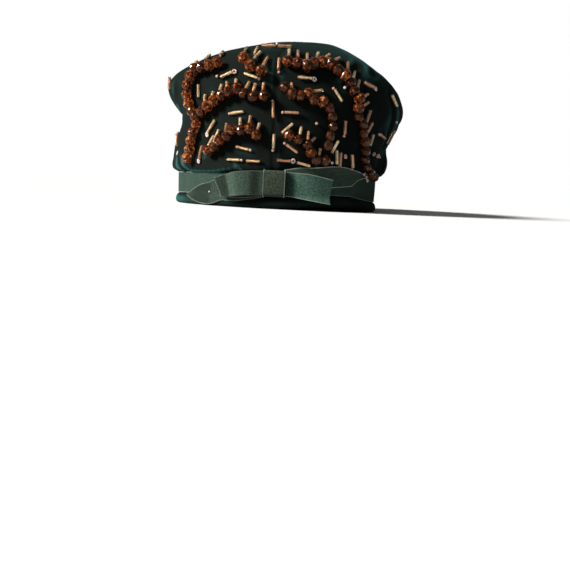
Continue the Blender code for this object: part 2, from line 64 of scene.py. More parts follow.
BAND_HEIGHT = ROLL_HEIGHT + RIBBON_WIDTH + RIBBON_MARGIN
HALF_WIDTH = HEAD_WIDTH / 2 + BAND_WALL
HALF_DEPTH = HEAD_DEPTH / 2 + BAND_WALL
PLAN_POWER = 2.1
CROWN_HEIGHT = 0.1075
CROWN_WALL = 0.0025
CROWN_SHIFT = 0.020
LEAN_RISE = 0.6
GATHER_COUNT = 16
GATHER_DEPTH = 0.0026
GATHER_HEIGHT = 0.046
GATHER_AZIMUTHS = (40, 75)
GATHER_SWELL = 0.12
CROWN_COLUMNS = 400
CROWN_ROWS = 130
LINING_ROWS = 26

band_low, band_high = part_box("headband")
AXIS = np.array([(band_low.x + band_high.x) / 2, (band_low.y + band_high.y) / 2, 0.0])

# Columns: rise, then left and right as shares of the headband's half width, front and back as
# shares of its half depth
CROWN_SECTIONS = np.array([
    (0.000, 1.000, 1.000, 1.000, 1.000),
    (0.023, 1.035, 1.060, 1.010, 1.050),
    (0.074, 1.040, 1.080, 1.025, 1.090),
    (0.205, 1.030, 1.095, 1.040, 1.120),
    (0.316, 1.000, 1.150, 1.040, 1.140),
    (0.409, 1.025, 1.225, 1.035, 1.150),
    (0.484, 1.070, 1.240, 1.020, 1.160),
    (0.558, 1.118, 1.215, 1.000, 1.160),
    (0.623, 1.125, 1.180, 0.970, 1.150),
    (0.679, 1.060, 1.125, 0.925, 1.120),
    (0.735, 0.965, 1.055, 0.860, 1.070),
    (0.786, 0.835, 0.935, 0.785, 1.000),
    (0.837, 0.685, 0.790, 0.685, 0.900),
    (0.884, 0.560, 0.665, 0.565, 0.770),
    (0.930, 0.435, 0.545, 0.420, 0.600),
    (0.967, 0.320, 0.425, 0.270, 0.400),
    (0.991, 0.155, 0.270, 0.120, 0.200),
    (1.000, 0.000, 0.000, 0.000, 0.000),
])
# Columns: azimuth and rise where the fold starts, azimuth and rise where it ends, half width and
# depth as shares of the headband's height
FOLDS = [
    (62, 0.05, 80, 0.44, 0.30, 0.20),
    (50, 0.80, 88, 0.70, 0.28, 0.12),
    (-74, 0.36, -120, 0.44, 0.30, 0.18),
    (105, 0.10, 118, 0.55, 0.34, 0.14),
    (150, 0.10, 145, 0.60, 0.36, 0.12),
    (-112, 0.08, -128, 0.34, 0.32, 0.12),
    (-158, 0.10, -150, 0.58, 0.36, 0.14),
    (186, 0.20, 190, 0.66, 0.36, 0.10),
]
# Creases of the slack velvet: the (azimuth, rise) points that each one runs through, its half
# width and depth in metres, and how far the cloth stands up in a lip along its right-hand side
CREASES = [
    ([(66, 0.20), (63.5, 0.293), (57.5, 0.376), (54.5, 0.461), (50, 0.600)],
     0.0030, 0.0022, 0.0008),
    ([(36, 0.730), (31, 0.660), (27, 0.580), (24, 0.520)], 0.0035, 0.0020, 0.0006),
    ([(47, 0.740), (43, 0.690), (40, 0.640)], 0.0026, 0.0012, 0.0004),
    ([(-56, 0.085), (-51, 0.048), (-46, 0.026), (-36, 0.020), (-26, 0.026)],
     0.0017, 0.0012, 0.0010),
    ([(-66, 0.120), (-60, 0.058), (-54, 0.016), (-47, 0.004)], 0.0016, 0.0012, 0.0009),
    ([(-44, 0.052), (-36, 0.038), (-25, 0.042), (-18, 0.055)], 0.0018, 0.0007, 0.0006),
    ([(-21, 0.085), (-16, 0.051), (-11.5, 0.006)], 0.0015, 0.0008, 0.0006),
    ([(-58, 0.420), (-66, 0.400), (-76, 0.385), (-90, 0.370)], 0.0030, 0.0022, 0.0006),
    ([(-54, 0.560), (-62, 0.480), (-70, 0.430)], 0.0040, 0.0012, 0.0006),
    ([(70, 0.050), (76, 0.160), (84, 0.260), (98, 0.330)], 0.0032, 0.0022, 0.0010),
    ([(96, 0.020), (102, 0.200), (110, 0.420)], 0.0036, 0.0024, 0.0010),
    ([(128, 0.020), (132, 0.220), (128, 0.460)], 0.0040, 0.0024, 0.0010),
    ([(158, 0.020), (162, 0.260), (168, 0.420)], 0.0040, 0.0020, 0.0010),
    ([(-96, 0.020), (-100, 0.180), (-112, 0.320)], 0.0036, 0.0022, 0.0010),
    ([(-134, 0.020), (-138, 0.240), (-132, 0.440)], 0.0040, 0.0024, 0.0010),
    ([(-170, 0.020), (-168, 0.200), (-174, 0.380)], 0.0040, 0.0020, 0.0010),
    ([(120, 0.700), (140, 0.640), (165, 0.660)], 0.0060, 0.0018, 0.0008),
    ([(-110, 0.720), (-135, 0.660), (-160, 0.690)], 0.0060, 0.0018, 0.0008),
]
# Columns: azimuth, how far the crown's foot and the ribbon's upper edge sag there, and how far the
# roll and the ribbon's lower edge arch up there, in metres
BAND_LINE = np.array([
    (-115, 0.0000, 0.0000), (-100, 0.0008, 0.0000), (-88, 0.0020, 0.0000), (-70, 0.0032, 0.0000),
    (-60, 0.0036, 0.0000), (-44, 0.0039, 0.0000), (-26, 0.0043, 0.0000), (-15, 0.0041, 0.0000),
    (-6, 0.0030, 0.0000), (0, 0.0018, 0.0008), (6, 0.0000, 0.0014), (10, 0.0000, 0.0019),
    (20, 0.0000, 0.0027), (32, 0.0000, 0.0032), (38, 0.0000, 0.0031), (44, 0.0000, 0.0020),
    (52, 0.0000, 0.0007), (62, 0.0000, 0.0000)])
SAG_RISE = 0.06
SAG_SWELL = 0.5
SEAM_AZIMUTH = -2.0
SEAM_WIDTH = 0.0011
SEAM_DEPTH = 0.0006
DENT_SCALES = (34, 95)
DENT_DEPTH = 0.0009
PUCKER_COUNT = 118
PUCKER_DEPTH = 0.00022
# Where the painted pool of light on the crown's lower left lies, as azimuth and rise, and how far
# it reaches
PAINTED_LIGHT_AT = (-60, 0.045)
PAINTED_LIGHT_REACH = (16, 0.05)


def crown_surface(azimuth, rise):
    """Points of the crown's outside, with its main folds and gathers, about the hat's own axis."""
    azimuth, rise = np.broadcast_arrays(np.asarray(azimuth, float), np.asarray(rise, float))
    rises, halves = CROWN_SECTIONS[:, 0], CROWN_SECTIONS[:, 1:]
    last = len(rises) - 1
    row = np.clip(np.searchsorted(rises, rise, side="right") - 1, 0, last - 1)
    u = ((rise - rises[row]) / (rises[row + 1] - rises[row]))[..., None]
    a, b, c, d = (halves[np.clip(row + step, 0, last)] for step in (-1, 0, 1, 2))
    shape = 0.5 * (2 * b + (c - a) * u + (2 * a - 5 * b + 4 * c - d) * u ** 2
                   + (3 * b - a - 3 * c + d) * u ** 3)
    left, right, front, back = np.moveaxis(shape, -1, 0)
    across, ahead = np.sin(np.radians(azimuth)), np.cos(np.radians(azimuth))
    x = np.where(across > 0, right, -left) * HALF_WIDTH * np.abs(across) ** (2 / PLAN_POWER)
    y = np.where(ahead > 0, -front, back) * HALF_DEPTH * np.abs(ahead) ** (2 / PLAN_POWER)
    out = np.hypot(x, y)
    stand = gathers(azimuth, rise) - folds(azimuth, rise) * np.minimum(out / HALF_WIDTH, 1)
    grow_by = 1 + stand / np.maximum(out, 1e-6)
    lean = np.maximum((rise - LEAN_RISE) / (1 - LEAN_RISE), 0)
    x, y = x * grow_by + CROWN_SHIFT * lean * lean, y * grow_by
    return np.stack([x, y, BAND_HEIGHT + rise * CROWN_HEIGHT], axis=-1)


def turned(azimuth):
    """An azimuth from -180 to 180."""
    return (np.asarray(azimuth, float) + 180) % 360 - 180


def sag(azimuth):
    """How far the slack velvet and the ribbon's upper edge hang down on the left."""
    return np.interp(turned(azimuth), BAND_LINE[:, 0], BAND_LINE[:, 1])


def arch(azimuth):
    """How far the roll and the ribbon's lower edge arch up on the right of the front."""
    return np.interp(turned(azimuth), BAND_LINE[:, 0], BAND_LINE[:, 2])


def gathers(azimuth, rise):
    """How far the gathers at the crown's foot stand out, at the sides and the back."""
    start, full = GATHER_AZIMUTHS
    side = np.clip((np.abs(turned(azimuth)) - start) / (full - start), 0, 1)
    foot = rise * CROWN_HEIGHT / GATHER_HEIGHT
    swell = np.maximum(1 - foot, 0) * np.minimum(foot / GATHER_SWELL, 1)
    return GATHER_DEPTH * side * swell * (0.5 - 0.5 * np.cos(np.radians(azimuth) * GATHER_COUNT))


def from_line(azimuth, rise, start, end):
    """Share along a line on the crown, distance from it, and side of it, in metres."""
    run = np.array([radians(end[0] - start[0]) * HALF_WIDTH, (end[1] - start[1]) * CROWN_HEIGHT])
    x = np.radians(turned(azimuth - start[0])) * HALF_WIDTH
    y = (rise - start[1]) * CROWN_HEIGHT
    share = np.clip((x * run[0] + y * run[1]) / (run @ run), 0, 1)
    apart = np.hypot(x - run[0] * share, y - run[1] * share)
    side = np.sign(x * run[1] - y * run[0])
    return share, apart, side


def folds(azimuth, rise):
    """How far the main folds press the velvet in."""
    depth = 0.0
    for azimuth_a, rise_a, azimuth_b, rise_b, width, deep in FOLDS:
        _, apart, _ = from_line(azimuth, rise, (azimuth_a, rise_a), (azimuth_b, rise_b))
        depth = depth + deep * BAND_HEIGHT * np.exp(-(apart / (width * BAND_HEIGHT)) ** 2)
    return depth


def creases(azimuth, rise):
    """Height of the sharp creases and of the lips beside them, fading at both ends."""
    height = np.zeros(np.broadcast(azimuth, rise).shape)
    for route, width, deep, lip in CREASES:
        near = np.full(height.shape, 1.0)
        valley, ridge = np.zeros(height.shape), np.zeros(height.shape)
        legs = len(route) - 1
        for leg in range(legs):
            share, apart, side = from_line(azimuth, rise, route[leg], route[leg + 1])
            fade = np.sin(pi * np.clip((leg + share) / legs, 0.0, 1.0)) ** 0.6
            closer = apart < near
            near = np.where(closer, apart, near)
            valley = np.where(closer, fade * np.exp(-(apart / width) ** 2), valley)
            beside = np.exp(-((apart * side - 1.7 * width) / width) ** 2)
            ridge = np.where(closer, fade * beside, ridge)
        height += lip * ridge - deep * valley
    return height


def relief(azimuth, rise, points):
    """Fine height of the velvet: creases, the seam, soft dents, and puckers above the band."""
    height = creases(azimuth, rise)
    seam = np.radians(turned(azimuth - SEAM_AZIMUTH)) * HALF_WIDTH
    back_seam = np.radians(turned(azimuth - SEAM_AZIMUTH - 180)) * HALF_WIDTH
    for apart in (seam, back_seam):
        height -= SEAM_DEPTH * np.exp(-(apart / SEAM_WIDTH) ** 2)
        height += 0.4 * SEAM_DEPTH * np.exp(-((np.abs(apart) - 2.4 * SEAM_WIDTH) / SEAM_WIDTH) ** 2)
    broad, small = DENT_SCALES
    dents = np.array([noise.noise(Vector(p) * broad) + 0.35 * noise.noise(Vector(p) * small)
                      for p in points.reshape(-1, 3)]).reshape(height.shape)
    away = np.clip(rise / 0.10, 0, 1)
    height += DENT_DEPTH * dents * away
    pucker = np.cos(np.radians(azimuth) * PUCKER_COUNT + 3 * dents) * np.exp(-rise / 0.030)
    height += PUCKER_DEPTH * pucker * np.clip(rise / 0.008, 0, 1)
    return height


def even_rises(count):
    """Rises that are evenly spaced along the velvet from the foot to the top."""
    fine = np.linspace(0, 1, 1500)
    steps = sum(np.linalg.norm(np.diff(crown_surface(turn, fine), axis=0), axis=1)
                for turn in (0, 90, 180, 270))
    along = np.concatenate([[0], np.cumsum(steps)])
    return np.interp(np.linspace(0, along[-1], count), along, fine)


def grid_normals(points):
    """Outward directions of a grid of points, rows by closed columns."""
    across = np.roll(points, -1, axis=1) - np.roll(points, 1, axis=1)
    up = np.gradient(points, axis=0)
    out = np.cross(across, up)
    return out / np.maximum(np.linalg.norm(out, axis=-1, keepdims=True), 1e-12)


def add_piece(name, points, faces, corner_uvs=None, sharp=40):
    """A shown piece from points and faces, smooth but for its sharp edges."""
    mesh = bpy.data.meshes.new(name)
    mesh.from_pydata([tuple(p) for p in points], [], faces)
    if corner_uvs is not None:
        mesh.uv_layers.new(name="cloth").data.foreach_set("uv", np.ravel(corner_uvs))
    body = bmesh.new()
    body.from_mesh(mesh)
    bmesh.ops.recalc_face_normals(body, faces=body.faces)
    body.to_mesh(mesh)
    body.free()
    mesh.shade_smooth()
    if sharp:
        mesh.set_sharp_from_angle(angle=radians(sharp))
    item = bpy.data.objects.new(name, mesh)
    bpy.context.collection.objects.link(item)
    return item


def ring_of_quads(near, far):
    """Quads between two closed rings of vertex numbers."""
    return np.stack([near, np.roll(near, -1), np.roll(far, -1), far], axis=1).tolist()


columns = np.arange(CROWN_COLUMNS) * 360 / CROWN_COLUMNS
rises = even_rises(CROWN_ROWS + 1)[:-1]
grid_azimuth, grid_rise = np.meshgrid(columns, rises)
velvet = crown_surface(grid_azimuth, grid_rise)
nap_height = relief(grid_azimuth, grid_rise, velvet)
nap_height *= np.clip((1 - grid_rise) / 0.03, 0, 1)
velvet = velvet + grid_normals(velvet) * nap_height[..., None]
hang = sag(grid_azimuth) * np.exp(-(grid_rise / SAG_RISE) ** 2)
away_from_axis = velvet[..., :2] / np.linalg.norm(velvet[..., :2], axis=-1, keepdims=True)
swell = 0.3 + SAG_SWELL * grid_rise / 0.03 * np.exp(1 - grid_rise / 0.03)
velvet[..., :2] += away_from_axis * (swell * hang)[..., None]
velvet[..., 2] -= hang
lining_rows = np.linspace(0, CROWN_ROWS - 12, LINING_ROWS).astype(int)
lining = velvet[lining_rows] - grid_normals(velvet)[lining_rows] * CROWN_WALL
lining[0] = velvet[0] + (lining[0] - velvet[0]) * (1, 1, 0)
tops = np.array([crown_surface(0, 1.0), crown_surface(0, 1.0) - (0, 0, CROWN_WALL)])
crown_points = np.concatenate([velvet.reshape(-1, 3), lining.reshape(-1, 3), tops]) + AXIS
outer = np.arange(velvet[..., 0].size).reshape(velvet.shape[:2])
inner = outer.size + np.arange(lining[..., 0].size).reshape(lining.shape[:2])
crown_faces = []
for rings in (outer, inner):
    for near, far in zip(rings, rings[1:]):
        crown_faces += ring_of_quads(near, far)
    pole = len(crown_points) - (2 if rings is outer else 1)
    crown_faces += [(int(a), int(b), pole) for a, b in zip(rings[-1], np.roll(rings[-1], -1))]
crown_faces += ring_of_quads(outer[0], inner[0])
crown = add_piece("velvet_crown", crown_points, crown_faces, sharp=0)
skin_tree = BVHTree.FromPolygons([Vector(p) for p in crown_points], crown_faces)

# Crests of the cloth lighter teal, partly worn pile and partly painted sheen, and hollows darker,
# painted shade
smooth = sum(np.roll(nap_height, step, axis=1) for step in range(-6, 7)) / 13
smooth = sum(np.roll(smooth, step, axis=0) for step in range(-4, 5)) / 9
# A painted pool of teal light on the crown's lower left, where the key light falls
painted_light_left = np.exp(-((turned(grid_azimuth) - PAINTED_LIGHT_AT[0]) / PAINTED_LIGHT_REACH[0]) ** 2
                     - ((grid_rise - PAINTED_LIGHT_AT[1]) / PAINTED_LIGHT_REACH[1]) ** 2)
crest = np.clip((nap_height - smooth) / 0.0016 + 0.42 + 0.28 * painted_light_left, 0, 1.0).ravel()
wear_and_sheen_layer = crown.data.attributes.new("crest", "FLOAT", "POINT")
wear_and_sheen_layer.data.foreach_set("value", np.concatenate([crest, np.full(inner.size + 2, 0.3)]))


class Strand:
    """An output in a node tree. Arithmetic on it adds Math nodes to the same tree."""

    def __init__(self, tree, socket=None):
        self.tree, self.socket = tree, socket

    def add(self, kind, settings=None, inputs=None, out=0):
        """Add a node: its settings first, then the values or links of its sockets."""
        made = self.tree.nodes.new(kind)
        for name, value in (settings or {}).items():
            if name == "stops":
                stops = made.color_ramp.elements
                stops.remove(stops[1])
                stops[0].position, stops[0].color = value[0][0], (*value[0][1], 1)
                for place, colour in value[1:]:
                    stops.new(place).color = (*colour, 1)
            else:
                setattr(made, name, value)
        for name, value in (inputs or {}).items():
            if isinstance(value, Strand):
                self.tree.links.new(value.socket, made.inputs[name])
            else:
                made.inputs[name].default_value = value
        return Strand(self.tree, made.outputs[out] if len(made.outputs) else None)

    def other(self, out):
        """Another output of the same node."""
        return Strand(self.tree, self.socket.node.outputs[out])

    def math(self, operation, *values):
        """Arithmetic on numbers."""
        return self.add("ShaderNodeMath", {"operation": operation}, dict(enumerate(values)))

    def blend(self, first, second, share):
        """Colour between two others."""
        return self.add("ShaderNodeMix", {"data_type": "RGBA"}, {0: share, 6: first, 7: second}, 2)

    def noise(self, place, scale, detail=2.0, roughness=0.5):
        """Noise at a place, in lumps of 1 / scale."""
        return self.add("ShaderNodeTexNoise", {}, {
            "Vector": place, "Scale": scale, "Detail": detail, "Roughness": roughness}, "Fac")

    def told(self, attribute):
        """A value that the mesh carries."""
        return self.add("ShaderNodeAttribute", {"attribute_name": attribute}, out="Fac")

    def bump(self, height, distance, strength=1.0):
        """Normal of a relief of a height."""
        return self.add("ShaderNodeBump", {}, {"Height": height, "Distance": distance,
                                               "Strength": strength})

    def __add__(self, value):
        return self.math("ADD", self, value)

    def __sub__(self, value):
        return self.math("SUBTRACT", self, value)

    def __rsub__(self, value):
        return self.math("SUBTRACT", value, self)

    def __mul__(self, value):
        return self.math("MULTIPLY", self, value)

    def __pow__(self, value):
        return self.math("POWER", self, value)

    def __rpow__(self, value):
        return self.math("POWER", value, self)

    __radd__, __rmul__ = __add__, __mul__


def make_finish(name, constants, painted):
    """Material of one shader: constants on its sockets, and what painted(tree) returns linked."""
    material = bpy.data.materials.new(name)
    material.use_nodes = True
    links = material.node_tree.links
    shader = material.node_tree.nodes["Principled BSDF"]
    for socket, value in constants.items():
        shader.inputs[socket].default_value = value
    for socket, value in painted(Strand(material.node_tree)).items():
        links.new(value.socket, shader.inputs[socket])
    return material


VELVET_DEEP = (0.0027, 0.0040, 0.0032, 1)
# Teal of worn pile and of painted sheen and light on the velvet
VELVET_WORN_AND_SHEEN = (0.0100, 0.0410, 0.0375, 1)


def velvet_pile(tree):
    """Dark pile, teal where it is brushed flat, on worn ridges, and where sheen and light are
    painted on.
    """
    place = tree.add("ShaderNodeTexCoord", out="Object")
    brushed = tree.noise(place, 42, 3.0, 0.6)
    tufts = tree.noise(place, 900, 2.0)
    pile = tree.noise(place, 3600, 2.0, 0.7)
    crest = tree.told("crest")
    worn_and_sheen = tree.add("ShaderNodeMapRange", {"interpolation_type": "SMOOTHSTEP"}, {
        "Value": crest + brushed * 0.45 + tufts * 0.15, "From Min": 0.75, "From Max": 1.35})
    colour = tree.blend(VELVET_DEEP, VELVET_WORN_AND_SHEEN, worn_and_sheen)
    return {"Base Color": colour, "Roughness": 0.95 - brushed * 0.2,
            "Normal": tree.bump(pile * 0.5 + tufts * 0.6 + brushed * 2.0, 0.0004, 0.55)}


velvet_finish = make_finish("silk_velvet", {
    "Sheen Weight": 1.0, "Sheen Roughness": 0.35, "Sheen Tint": (0.0044, 0.0172, 0.0160, 1),
    "Specular IOR Level": 0.02}, velvet_pile)
crown.data.materials.append(velvet_finish)
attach(crown, "root")
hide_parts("crown")
# The widest girth round the crown's outside
widest = velvet[np.argmax(np.abs(velvet[..., 0]).max(axis=1))]
girth = np.linalg.norm(np.roll(widest, -1, axis=0) - widest, axis=1).sum()


# Headband
# A band of the same velvet on a stiff strip, its lower edge rolled under over a cord of wadding.
# The ribbon covers it above the roll, and the crown's foot is sewn to its top.
ROLL_DEPTH = 0.003
CLEARANCE = 0.0003
BAND_STATIONS = 240
# Columns: out as a share of ROLL_DEPTH, height as a share of ROLL_HEIGHT
ROLL_CURVE = [(-0.35, 0.00), (0.05, 0.00), (0.45, 0.02), (0.74, 0.08), (0.92, 0.20), (1.00, 0.36),
              (0.96, 0.52), (0.82, 0.68), (0.58, 0.82), (0.28, 0.93), (0.00, 1.00)]


def plan_point(azimuth):
    """Points of the headband's outer wall, seen from above."""
    across, ahead = np.sin(np.radians(azimuth)), np.cos(np.radians(azimuth))
    x = HALF_WIDTH * np.sign(across) * np.abs(across) ** (2 / PLAN_POWER)
    y = -HALF_DEPTH * np.sign(ahead) * np.abs(ahead) ** (2 / PLAN_POWER)
    return np.stack([x, y], axis=-1)


def band_point(azimuth, out, height):
    """Points at distances out from the headband's outer wall."""
    azimuth, out, height = np.broadcast_arrays(azimuth, out, height)
    run = plan_point(azimuth + 1) - plan_point(azimuth - 1)
    normal = np.stack([run[..., 1], -run[..., 0]], axis=-1)
    normal = normal / np.linalg.norm(normal, axis=-1, keepdims=True)
    flat = plan_point(azimuth) + normal * out[..., None]
    return np.concatenate([flat, height[..., None]], axis=-1)


def grid_piece(name, points, along, across, wrap_rows=False, caps=False, sharp=40):
    """Piece of a grid of points, rows by closed columns, with a UV map of lengths in metres."""
    rows, cols = points.shape[:2]
    numbers = np.arange(rows * cols).reshape(rows, cols)
    faces, uvs = [], []
    for r in range(rows if wrap_rows else rows - 1):
        near, far = numbers[r], numbers[(r + 1) % rows]
        faces += ring_of_quads(near, far)
        for c in range(cols):
            a, b, low, high = along[r], along[r + 1], across[c], across[c + 1]
            uvs += [(a, low), (a, high), (b, high), (b, low)]
    if caps:
        half = cols // 2
        for r in (0, rows - 1):
            for c in range(half - 1):
                ends = (c, c + 1, cols - 2 - c, cols - 1 - c)
                faces.append(tuple(int(numbers[r, e]) for e in ends))
                uvs += [(along[r], across[e]) for e in ends]
    return add_piece(name, points.reshape(-1, 3) + AXIS, faces, uvs, sharp)


stations = np.arange(BAND_STATIONS) * 360 / BAND_STATIONS
roll = [(out * ROLL_DEPTH, height * ROLL_HEIGHT) for out, height in ROLL_CURVE]
band_top = BAND_HEIGHT - CLEARANCE
band_outline = np.array(roll + [(0, 0.012), (0, 0.020), (0, band_top), (-BAND_WALL, band_top),
                                (-BAND_WALL, 0.014), (-BAND_WALL, 0.0008)])
wobble = np.array([noise.noise(Vector((cos(radians(t)) * 5, sin(radians(t)) * 5, 0.3)))
                   for t in stations])
outs = band_outline[None, :, 0] + np.where(band_outline[None, :, 0] > 0.0005, 1, 0) * (
    0.00035 * wobble[:, None])
band_heights = band_outline[None, :, 1] + np.where(
    band_outline[None, :, 1] < 0.013, arch(stations)[:, None], 0) - np.where(
    band_outline[None, :, 1] > 0.021, sag(stations)[:, None], 0)
band_grid = band_point(stations[:, None], outs, band_heights)
headband = grid_piece("velvet_headband", band_grid, np.append(stations, 360),
                      np.zeros(len(band_outline) + 1), wrap_rows=True, sharp=60)
# Painted sheen on the roll's outer curve, brightest at the left end, where the key light falls
headband.data.attributes.new("crest", "FLOAT", "POINT").data.foreach_set(
    "value", np.ravel(np.clip(band_outline[None, :, 0] / ROLL_DEPTH, 0, 1)
                      * (0.55 + 0.4 * np.exp(-((turned(stations)[:, None] + 75) / 25) ** 2))))
headband.data.materials.append(velvet_finish)
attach(headband, "root")
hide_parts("headband")


# Ribbon and bow
# Grosgrain ribbon, 19 mm wide, with a scalloped selvedge: once round the headband, and a flat bow
# of a pressed loop, two pointed leaves, a cut tail and a knot wrapped over them and stitched down.
RIBBON_THICK = 0.001
WEAVE_THICK = 0.0006
KNOT_WIDTH = 0.0137
KNOT_DEPTH = 0.0062
KNOT_OFFSET = -0.0021
LOOP_LENGTH = 0.0305
LOOP_PUFF = 0.0066
LOOP_LIFT = 0.0022
TAIL_LENGTH = 0.0325
TAIL_LIFT = 0.0022
LEFT_LEAF_LENGTH = 0.0673
RIGHT_LEAF_LENGTH = 0.0705
SKIN_STEP = 0.002
RIBBON_LOW = ROLL_HEIGHT + CLEARANCE
RIBBON_COLUMNS = 12
STEPS_PER_ROW = 10
# Columns: along as a share of the piece's length, lift as a share of its own lift or puff, low and
# high edge as shares of RIBBON_WIDTH above the ribbon's lower edge, and how far the high edge
# leads the low one, as a share of RIBBON_WIDTH
LOOP_PATH = [
    (0.00, 0.00, 0.02, 0.86, 0.00),
    (0.38, 0.00, -0.07, 0.80, 0.06),
    (0.78, 0.00, -0.09, 0.70, 0.20),
    (0.94, 0.09, -0.07, 0.62, 0.28),
    (1.00, 0.32, -0.05, 0.58, 0.31),
    (0.97, 0.56, -0.06, 0.59, 0.30),
    (0.88, 0.62, -0.07, 0.63, 0.26),
    (0.74, 0.66, -0.05, 0.72, 0.18),
    (0.56, 0.92, -0.02, 0.81, 0.10),
    (0.36, 0.86, 0.02, 0.85, 0.04),
    (0.14, 0.50, 0.04, 0.88, 0.00),
    (0.00, 0.40, 0.05, 0.89, 0.00),
]
LEFT_LEAF_PATH = [
    (0.000, 0.0, -0.02, 0.84, 0.00),
    (0.125, 0.0, -0.12, 0.78, 0.00),
    (0.300, 0.0, -0.22, 0.70, 0.00),
    (0.440, 0.0, -0.22, 0.60, 0.00),
    (0.550, 0.0, -0.35, 0.51, 0.00),
    (0.640, 0.0, -0.39, 0.40, 0.00),
    (0.740, 0.0, -0.37, 0.34, 0.00),
    (0.870, 0.0, -0.27, 0.18, 0.00),
    (1.000, 0.0, -0.10, -0.02, 0.00),
]
RIGHT_LEAF_PATH = [
    (0.00, 0.0, 0.18, 0.98, 0.00),
    (0.14, 0.0, 0.22, 1.08, 0.00),
    (0.30, 0.0, 0.30, 1.12, 0.00),
    (0.48, 0.0, 0.44, 1.21, 0.00),
    (0.62, 0.0, 0.50, 1.22, 0.00),
    (0.76, 0.0, 0.57, 1.15, 0.00),
    (0.86, 0.0, 0.79, 1.09, 0.00),
    (1.00, 0.0, 0.92, 0.98, 0.00),
]
TAIL_PATH = [
    (0.00, 0.70, 0.05, 0.90, 0.00),
    (0.20, 1.20, 0.02, 0.88, 0.00),
    (0.45, 1.15, -0.05, 0.87, 0.03),
    (0.75, 1.00, -0.12, 0.79, 0.08),
    (1.00, 1.00, -0.17, 0.72, 0.12),
]
# Columns: height as a share of the knot's height, out as a share of KNOT_DEPTH
KNOT_PROFILE = [
    (-0.01, 0.10), (-0.01, 0.45), (0.00, 0.66), (0.03, 0.84), (0.10, 0.94),
    (0.24, 0.99), (0.42, 0.97), (0.60, 1.00), (0.78, 0.98), (0.91, 0.93),
    (0.97, 0.82), (1.00, 0.64), (1.01, 0.45), (1.01, 0.10),
]
KNOT_EDGES = (0.02, 0.92)
# How far in front of the weave's middle its picots stand, as shares of its thickness
EDGE_SET = 0.4
BEND_SET = 0.8
KNOT_EDGE_SET = 0.5


def spline(values, places):
    """Catmull-Rom rows of a table at places counted in rows."""
    values, places = np.asarray(values, float), np.asarray(places, float)
    last = len(values) - 1
    row = np.clip(places.astype(int), 0, last - 1)
    u = (places - row)[:, None]
    a, b, c, d = (values[np.clip(row + step, 0, last)] for step in (-1, 0, 1, 2))
    return 0.5 * (2 * b + (c - a) * u + (2 * a - 5 * b + 4 * c - d) * u ** 2
                  + (3 * b - a - 3 * c + d) * u ** 3)


arc_azimuths = np.arange(0, 180.5, 0.5)
arc_steps = np.linalg.norm(np.diff(plan_point(arc_azimuths), axis=0), axis=1)
arc_lengths = np.concatenate([[0], np.cumsum(arc_steps)])


def azimuth_along(length):
    """Azimuth at a length along the headband, to the right of its front."""
    return np.sign(length) * np.interp(np.abs(length), arc_lengths, arc_azimuths)


def skin(azimuth, height):
    """How far the roll, the ribbon or the crown stands out from the headband near a height."""
    out = np.where(height > RIBBON_LOW - RIBBON_THICK, CLEARANCE + RIBBON_THICK, 0.0)
    roll_outs, roll_heights = zip(*roll)
    wall_out = np.linalg.norm(plan_point(azimuth), axis=-1)
    for near in (-SKIN_STEP, 0, SKIN_STEP):
        level = height + near
        out = np.maximum(out, np.interp(level, roll_heights, roll_outs, right=0))
        rise = np.maximum((level - BAND_HEIGHT) / CROWN_HEIGHT, 0)
        crown_out = np.linalg.norm(crown_surface(azimuth, rise)[..., :2], axis=-1)
        out = np.maximum(out, np.where(level > BAND_HEIGHT, crown_out - wall_out, 0))
    return out


def strip_piece(name, centre, front, thick, along, width, caps=True, wrap_rows=False):
    """Ribbon with a front and a back, from a grid of middle points and its outward directions."""
    face = centre + front * thick / 2
    rear = centre - front * thick / 2
    ring = np.concatenate([face, rear[:, ::-1]], axis=1)
    across = np.linspace(0, width, centre.shape[1])
    round_trip = np.concatenate([across, across[::-1], [0]])
    return grid_piece(name, ring, along, round_trip, wrap_rows, caps)


def bow_strip(name, path, start, length, lift, puff=0.0):
    """Middle points and outward directions of a strip that leaves the knot along a path."""
    steps = STEPS_PER_ROW * (len(path) - 1)
    share, up, low, high, lead = spline(path, np.arange(steps + 1) / STEPS_PER_ROW).T
    side = 1 if length > 0 else -1
    line = np.stack([share * abs(length), lift + puff * up], axis=1)
    run = np.gradient(line, axis=0)
    run = run / np.maximum(np.linalg.norm(run, axis=1, keepdims=True), 1e-9)
    part = np.linspace(0, 1, RIBBON_COLUMNS + 1)[None, :]
    height = RIBBON_LOW + RIBBON_WIDTH * (low[:, None] + (high - low)[:, None] * part)

    def sheet_at(off):
        """Points of the strip at a distance in front of its middle."""
        ahead = line[:, 0] - run[:, 1] * off
        out = line[:, 1] + run[:, 0] * off + CLEARANCE + RIBBON_THICK / 2
        reach = np.maximum(ahead[:, None] + lead[:, None] * RIBBON_WIDTH * (part - 0.5), 0)
        azimuth = azimuth_along(start + side * reach)
        return band_point(azimuth, skin(azimuth, height) + out[:, None], height)

    centre = sheet_at(0.0)
    front = sheet_at(0.0005) - sheet_at(-0.0005)
    front = front / np.maximum(np.linalg.norm(front, axis=-1, keepdims=True), 1e-9)
    along = np.concatenate([[0], np.cumsum(np.linalg.norm(np.diff(line, axis=0), axis=1))])
    piece = strip_piece(name, centre, front, WEAVE_THICK, along, RIBBON_WIDTH)
    for side in (0, -1):
        edges.append((centre[:, side] + front[:, side] * WEAVE_THICK * EDGE_SET, name))
    bend = int(np.argmax(share))
    # A pale dotted line along the loop's bend, a painted highlight where the fold catches the light
    if bend < steps:
        edges.append((centre[bend] - front[bend] * WEAVE_THICK * BEND_SET, name + "_bend"))
    return piece, along


